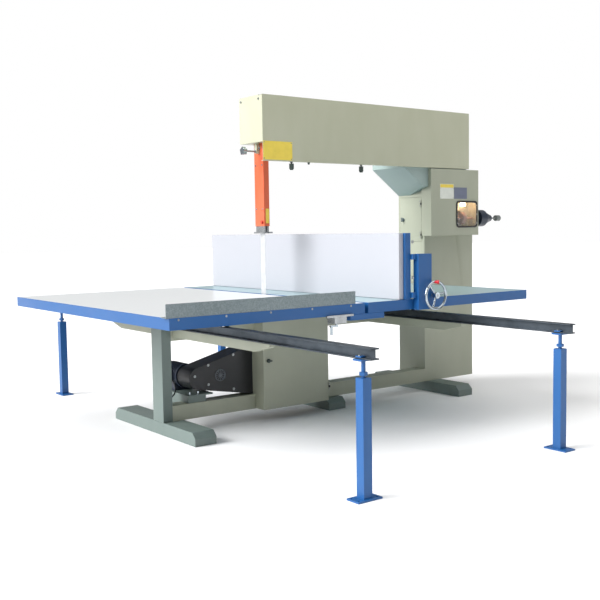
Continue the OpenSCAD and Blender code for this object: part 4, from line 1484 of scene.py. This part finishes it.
@dataclass
class SharpeningHouse(SubAssembly):
    """The housing that sharpens the blade, with its window and two motors."""

    title: str = "sharpening house"
    edges: dict[str, float] = field(
        default_factory=lambda: {
            "grinder_housing": 4 * MM,
            "window_frame": 5 * MM,
            "grinder_motors": 3 * MM,
            "adjust_knob": 4 * MM,
        }
    )
    kept: tuple[str, ...] = (
        "window_glass",
        "inspection_lamp",
        "grinding_disc_left",
        "grinding_disc_right",
    )
    finishes: dict[str, Finish] = field(
        default_factory=lambda: {"grinder_motors": MOTOR_NAVY, "adjust_knob": GREY_KNOB}
    )
    plates: tuple[NamePlate, ...] = (
        NamePlate(
            "rating_plate",
            "grinder_housing",
            across=(108 * MM, 278 * MM),
            upright=(320 * MM, 448 * MM),
            finish=PLATE_WHITE,
        ),
        NamePlate(
            "rating_plate_strip",
            "grinder_housing",
            across=(111 * MM, 275 * MM),
            upright=(416 * MM, 445 * MM),
            finish=PLATE_YELLOW,
            thick=1.9 * MM,
        ),
        NamePlate(
            "switch_plate",
            "grinder_housing",
            across=(282 * MM, 448 * MM),
            upright=(320 * MM, 420 * MM),
            finish=PLATE_SLATE,
        ),
    )
    fasteners: tuple[FastenerSet, ...] = (
        FastenerSet(
            "rating_plate_rivets",
            "grinder_housing",
            TO_FRONT,
            rows=(((115 * MM, 271 * MM), (0,), (327 * MM, 410 * MM)),),
            across=5 * MM,
            rise=1.6 * MM,
            head=Head.SOCKET,
            proud=1 * MM,
        ),
        FastenerSet(
            "window_screws",
            "window_frame",
            TO_FRONT,
            rows=(((13 * MM, -13 * MM), (0,), (39 * MM, None, -39 * MM)),),
            across=9 * MM,
            rise=2.6 * MM,
            head=Head.SOCKET,
        ),
    )


@dataclass
class Column(SubAssembly):
    """The standing column with its side door, and the frame's feet."""

    title: str = "column"
    edges: dict[str, float] = field(
        default_factory=lambda: {
            "column": 5 * MM,
            "column_door": 1.2 * MM,
            "column_lock": 1 * MM,
            "end_post": 4 * MM,
            "cross_beam": 3 * MM,
            "floor_feet": 4 * MM,
        }
    )
    fasteners: tuple[FastenerSet, ...] = (
        FastenerSet(
            "side_door_screws",
            "column_door",
            TO_LEFT,
            rows=(((0,), (14 * MM,), (40 * MM, 80 * MM, 310 * MM, 350 * MM)),),
            across=9 * MM,
            rise=2.4 * MM,
            head=Head.SOCKET,
        ),
    )


@dataclass
class RollingTable(SubAssembly):
    """The slotted table, its frames and rollers, and the rails under it.

    Attributes:
        clip_bolts: The bolts that hold the rails to the posts.
        clip_w: A rail clip's width across the rail.
        clip_l: Its length along the rail.
        clip_t: Its thickness.
        clip_shift: How far a clip lies right of its bolt.
        clip_edge: Its edge radius.
    """

    title: str = "rolling table"
    edges: dict[str, float] = field(
        default_factory=lambda: {
            "table_top_left": 1.2 * MM,
            "table_top_right": 1.2 * MM,
            "table_frame_left": 2.5 * MM,
            "table_frame_right": 2.5 * MM,
            "table_bridge": 3 * MM,
            "stop_angle": 2 * MM,
            "rails": 2 * MM,
            "support_posts": 2.5 * MM,
            "table_lock": 1.5 * MM,
            "lock_crank": 1.5 * MM,
        }
    )
    kept: tuple[str, ...] = (
        "rollers_front",
        "rollers_rear",
        "fence_racks",
        "post_jacks",
    )
    finishes: dict[str, Finish] = field(
        default_factory=lambda: {"table_top_right": TEAL_LAMINATE}
    )
    fasteners: tuple[FastenerSet, ...] = (
        FastenerSet(
            "stop_angle_bolts",
            "stop_angle",
            UPWARD,
            rows=(
                ((60 * MM, 380 * MM, 700 * MM, 1020 * MM), (36 * MM,), (6 * MM,)),
            ),
            across=14 * MM,
            rise=5 * MM,
        ),
        FastenerSet(
            "rim_screws",
            "table_frame_left",
            TO_FRONT,
            rows=(
                (
                    (60 * MM, 380 * MM, 700 * MM, 1020 * MM, 1340 * MM),
                    (0,),
                    (-12 * MM,),
                ),
            ),
            across=10 * MM,
            rise=3 * MM,
            head=Head.SOCKET,
        ),
    )
    clip_bolts: FastenerSet = FastenerSet(
        "rail_clip_bolts",
        "rails",
        UPWARD,
        rows=(
            ((4 * MM, 56 * MM, -56 * MM, -4 * MM), (95 * MM, -100 * MM), (17 * MM,)),
        ),
        across=14 * MM,
        rise=6 * MM,
    )
    clip_w: float = 34 * MM
    clip_l: float = 44 * MM
    clip_t: float = 9 * MM
    clip_shift: float = 6 * MM
    clip_edge: float = 1.5 * MM

    def extras(self) -> None:
        """Clamps each rail's foot to its post heads with two clips and bolts."""
        near = Vector((-self.clip_w / 2, -self.clip_l / 2, -self.clip_t))
        far = Vector((self.clip_w / 2, self.clip_l / 2, 0))
        clips = bmesh.new()
        for seat in self.clip_bolts.seats():
            middle = seat + Vector((self.clip_shift, 0, 0))
            merge(slab(middle + near, middle + far), clips)
        piece = new_piece("rail_clips", clips)
        soften(piece, self.clip_edge, 1)
        finish_piece(piece, "root", TRACK_BLUE)
        self.clip_bolts.fit()


@dataclass
class GearedFence(SubAssembly):
    """The fence with its racked shaft and handwheel.

    Attributes:
        strip_low: The low corner of the dark end strip, from the board's left,
            far and lower sides.
        strip_high: Its high corner, from the board's left, far and upper sides.
        strip_edge: Its edge radius.
    """

    title: str = "geared fence"
    edges: dict[str, float] = field(
        default_factory=lambda: {"fence_panel": 1.5 * MM, "fence_frame": 2.5 * MM}
    )
    kept: tuple[str, ...] = ("fence_shaft", "handwheel", "crank_knob")
    finishes: dict[str, Finish] = field(
        default_factory=lambda: {"fence_panel": FENCE_LAMINATE}
    )
    fasteners: tuple[FastenerSet, ...] = (
        FastenerSet(
            "fence_bolts",
            "fence_frame",
            TO_FRONT,
            rows=(((25 * MM,), (0,), (225 * MM, -60 * MM)),),
            across=16 * MM,
            rise=6 * MM,
        ),
    )
    strip_low: Point = (2 * MM, 0, 20 * MM)
    strip_high: Point = (14 * MM, 4 * MM, -160 * MM)
    strip_edge: float = 1 * MM

    def extras(self) -> None:
        """Fixes the dark strip to the board's far end."""
        near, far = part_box("fence_panel")
        lowest = Vector((near.x, far.y, near.z)) + Vector(self.strip_low)
        highest = Vector((near.x, far.y, far.z)) + Vector(self.strip_high)
        strip = new_piece("fence_end_strip", slab(lowest, highest))
        soften(strip, self.strip_edge, 1)
        finish_piece(strip, "fence", DARK_KNOB)


# ---------------------------------------------------------------- studio


@dataclass
class Studio:
    """A plain pale floor, soft light and the camera.

    Attributes:
        eye: Where the camera stands.
        right: The camera's right, as a unit vector.
        up: The camera's up, as a unit vector.
        ahead: Where it looks, as a unit vector.
        lens: The focal length in millimetres.
        sensor: The sensor's width in millimetres.
        reach: How far the camera sees.
        floor_half: Half the floor's side.
        floor_colour: The floor's colour, as sRGB hex.
        floor_blur: How matt the floor is.
        sky_light: How strongly the sky lights the machine.
        key_light: The strength of the light from the left.
        key_way: The way from the machine to that light.
        key_spread: How wide it looks, in degrees.
        top_light: The strength of the light from above.
        top_way: The way from the machine to that light.
        top_spread: How wide it looks, in degrees.
    """

    eye: Point = (-4.446, -5.581, 1.444)
    right: Point = (0.79730, -0.60339, -0.01526)
    up: Point = (0.05930, 0.05314, 0.99684)
    ahead: Point = (0.60067, 0.79568, -0.07815)
    lens: float = 53.29
    sensor: float = 36.0
    reach: float = 200.0
    floor_half: float = 60.0
    floor_colour: str = "#F4F4F4"
    floor_blur: float = 0.9
    sky_light: float = 0.38
    key_light: float = 5.2
    key_way: Point = (-0.82, 0.28, 0.5)
    key_spread: float = 42.0
    top_light: float = 1.3
    top_way: Point = (0.1, -0.25, 1.0)
    top_spread: float = 70.0

    def camera(self) -> None:
        """Stands the camera in its place."""
        data = bpy.data.cameras.new("view")
        data.lens = self.lens
        data.sensor_width = self.sensor
        data.clip_end = self.reach
        eye = bpy.data.objects.new("view", data)
        turn = Matrix((self.right, self.up, tuple(-c for c in self.ahead))).transposed()
        eye.matrix_world = Matrix.Translation(self.eye) @ turn.to_4x4()
        bpy.context.scene.collection.objects.link(eye)
        bpy.context.scene.camera = eye

    def floor(self) -> None:
        """Lays the pale floor."""
        shape = bmesh.new()
        bmesh.ops.create_grid(shape, x_segments=1, y_segments=1, size=self.floor_half)
        floor = new_piece("studio_floor", shape)
        paint = bpy.data.materials.new("pale_floor")
        paint.use_nodes = True
        shader = paint.node_tree.nodes["Principled BSDF"]
        shader.inputs["Base Color"].default_value = linear(self.floor_colour)
        shader.inputs["Roughness"].default_value = self.floor_blur
        floor.data.materials.append(paint)

    def sun(self, name: str, towards: Point, strength: float, spread: float) -> None:
        """Adds one even, soft light from far off.

        Args:
            name: The light's name.
            towards: The way from the machine to the light.
            strength: Its strength.
            spread: How wide it looks, in degrees; a wide light is soft.
        """
        data = bpy.data.lights.new(name, "SUN")
        data.energy = strength
        data.angle = math.radians(spread)
        lamp = bpy.data.objects.new(name, data)
        lamp.rotation_mode = "QUATERNION"
        lamp.rotation_quaternion = Vector(towards).to_track_quat("Z", "Y")
        bpy.context.scene.collection.objects.link(lamp)

    def sky(self) -> None:
        """Sets a white sky, dimmer as a light than to the eye."""
        world = bpy.data.worlds.new("studio_sky")
        world.use_nodes = True
        tree = world.node_tree
        sky = tree.nodes["Background"]
        sky.inputs["Color"].default_value = linear("#FFFFFF")
        ray = add(tree, "ShaderNodeLightPath")
        glow = add(
            tree,
            "ShaderNodeMapRange",
            feeds={
                "Value": ray.outputs["Is Camera Ray"],
                "To Min": self.sky_light,
                "To Max": 1.0,
            },
        )
        tree.links.new(glow.outputs[0], sky.inputs["Strength"])
        bpy.context.scene.world = world

    def build(self) -> None:
        """Sets up the camera, the floor and the lights."""
        self.camera()
        self.floor()
        self.sky()
        self.sun("key_left", self.key_way, self.key_light, self.key_spread)
        self.sun("top", self.top_way, self.top_light, self.top_spread)
        bpy.context.scene.view_settings.view_transform = "Standard"


def main() -> None:
    """Builds every sub-assembly in order and notes the sizes."""
    logging.basicConfig(level=logging.INFO, format="%(name)s: %(message)s")
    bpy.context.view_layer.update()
    Studio().build()
    for part in (
        CuttingHead(),
        DriveSide(),
        SharpeningHouse(),
        Column(),
        RollingTable(),
        GearedFence(),
    ):
        part.build()


if __name__ == "__main__":
    main()
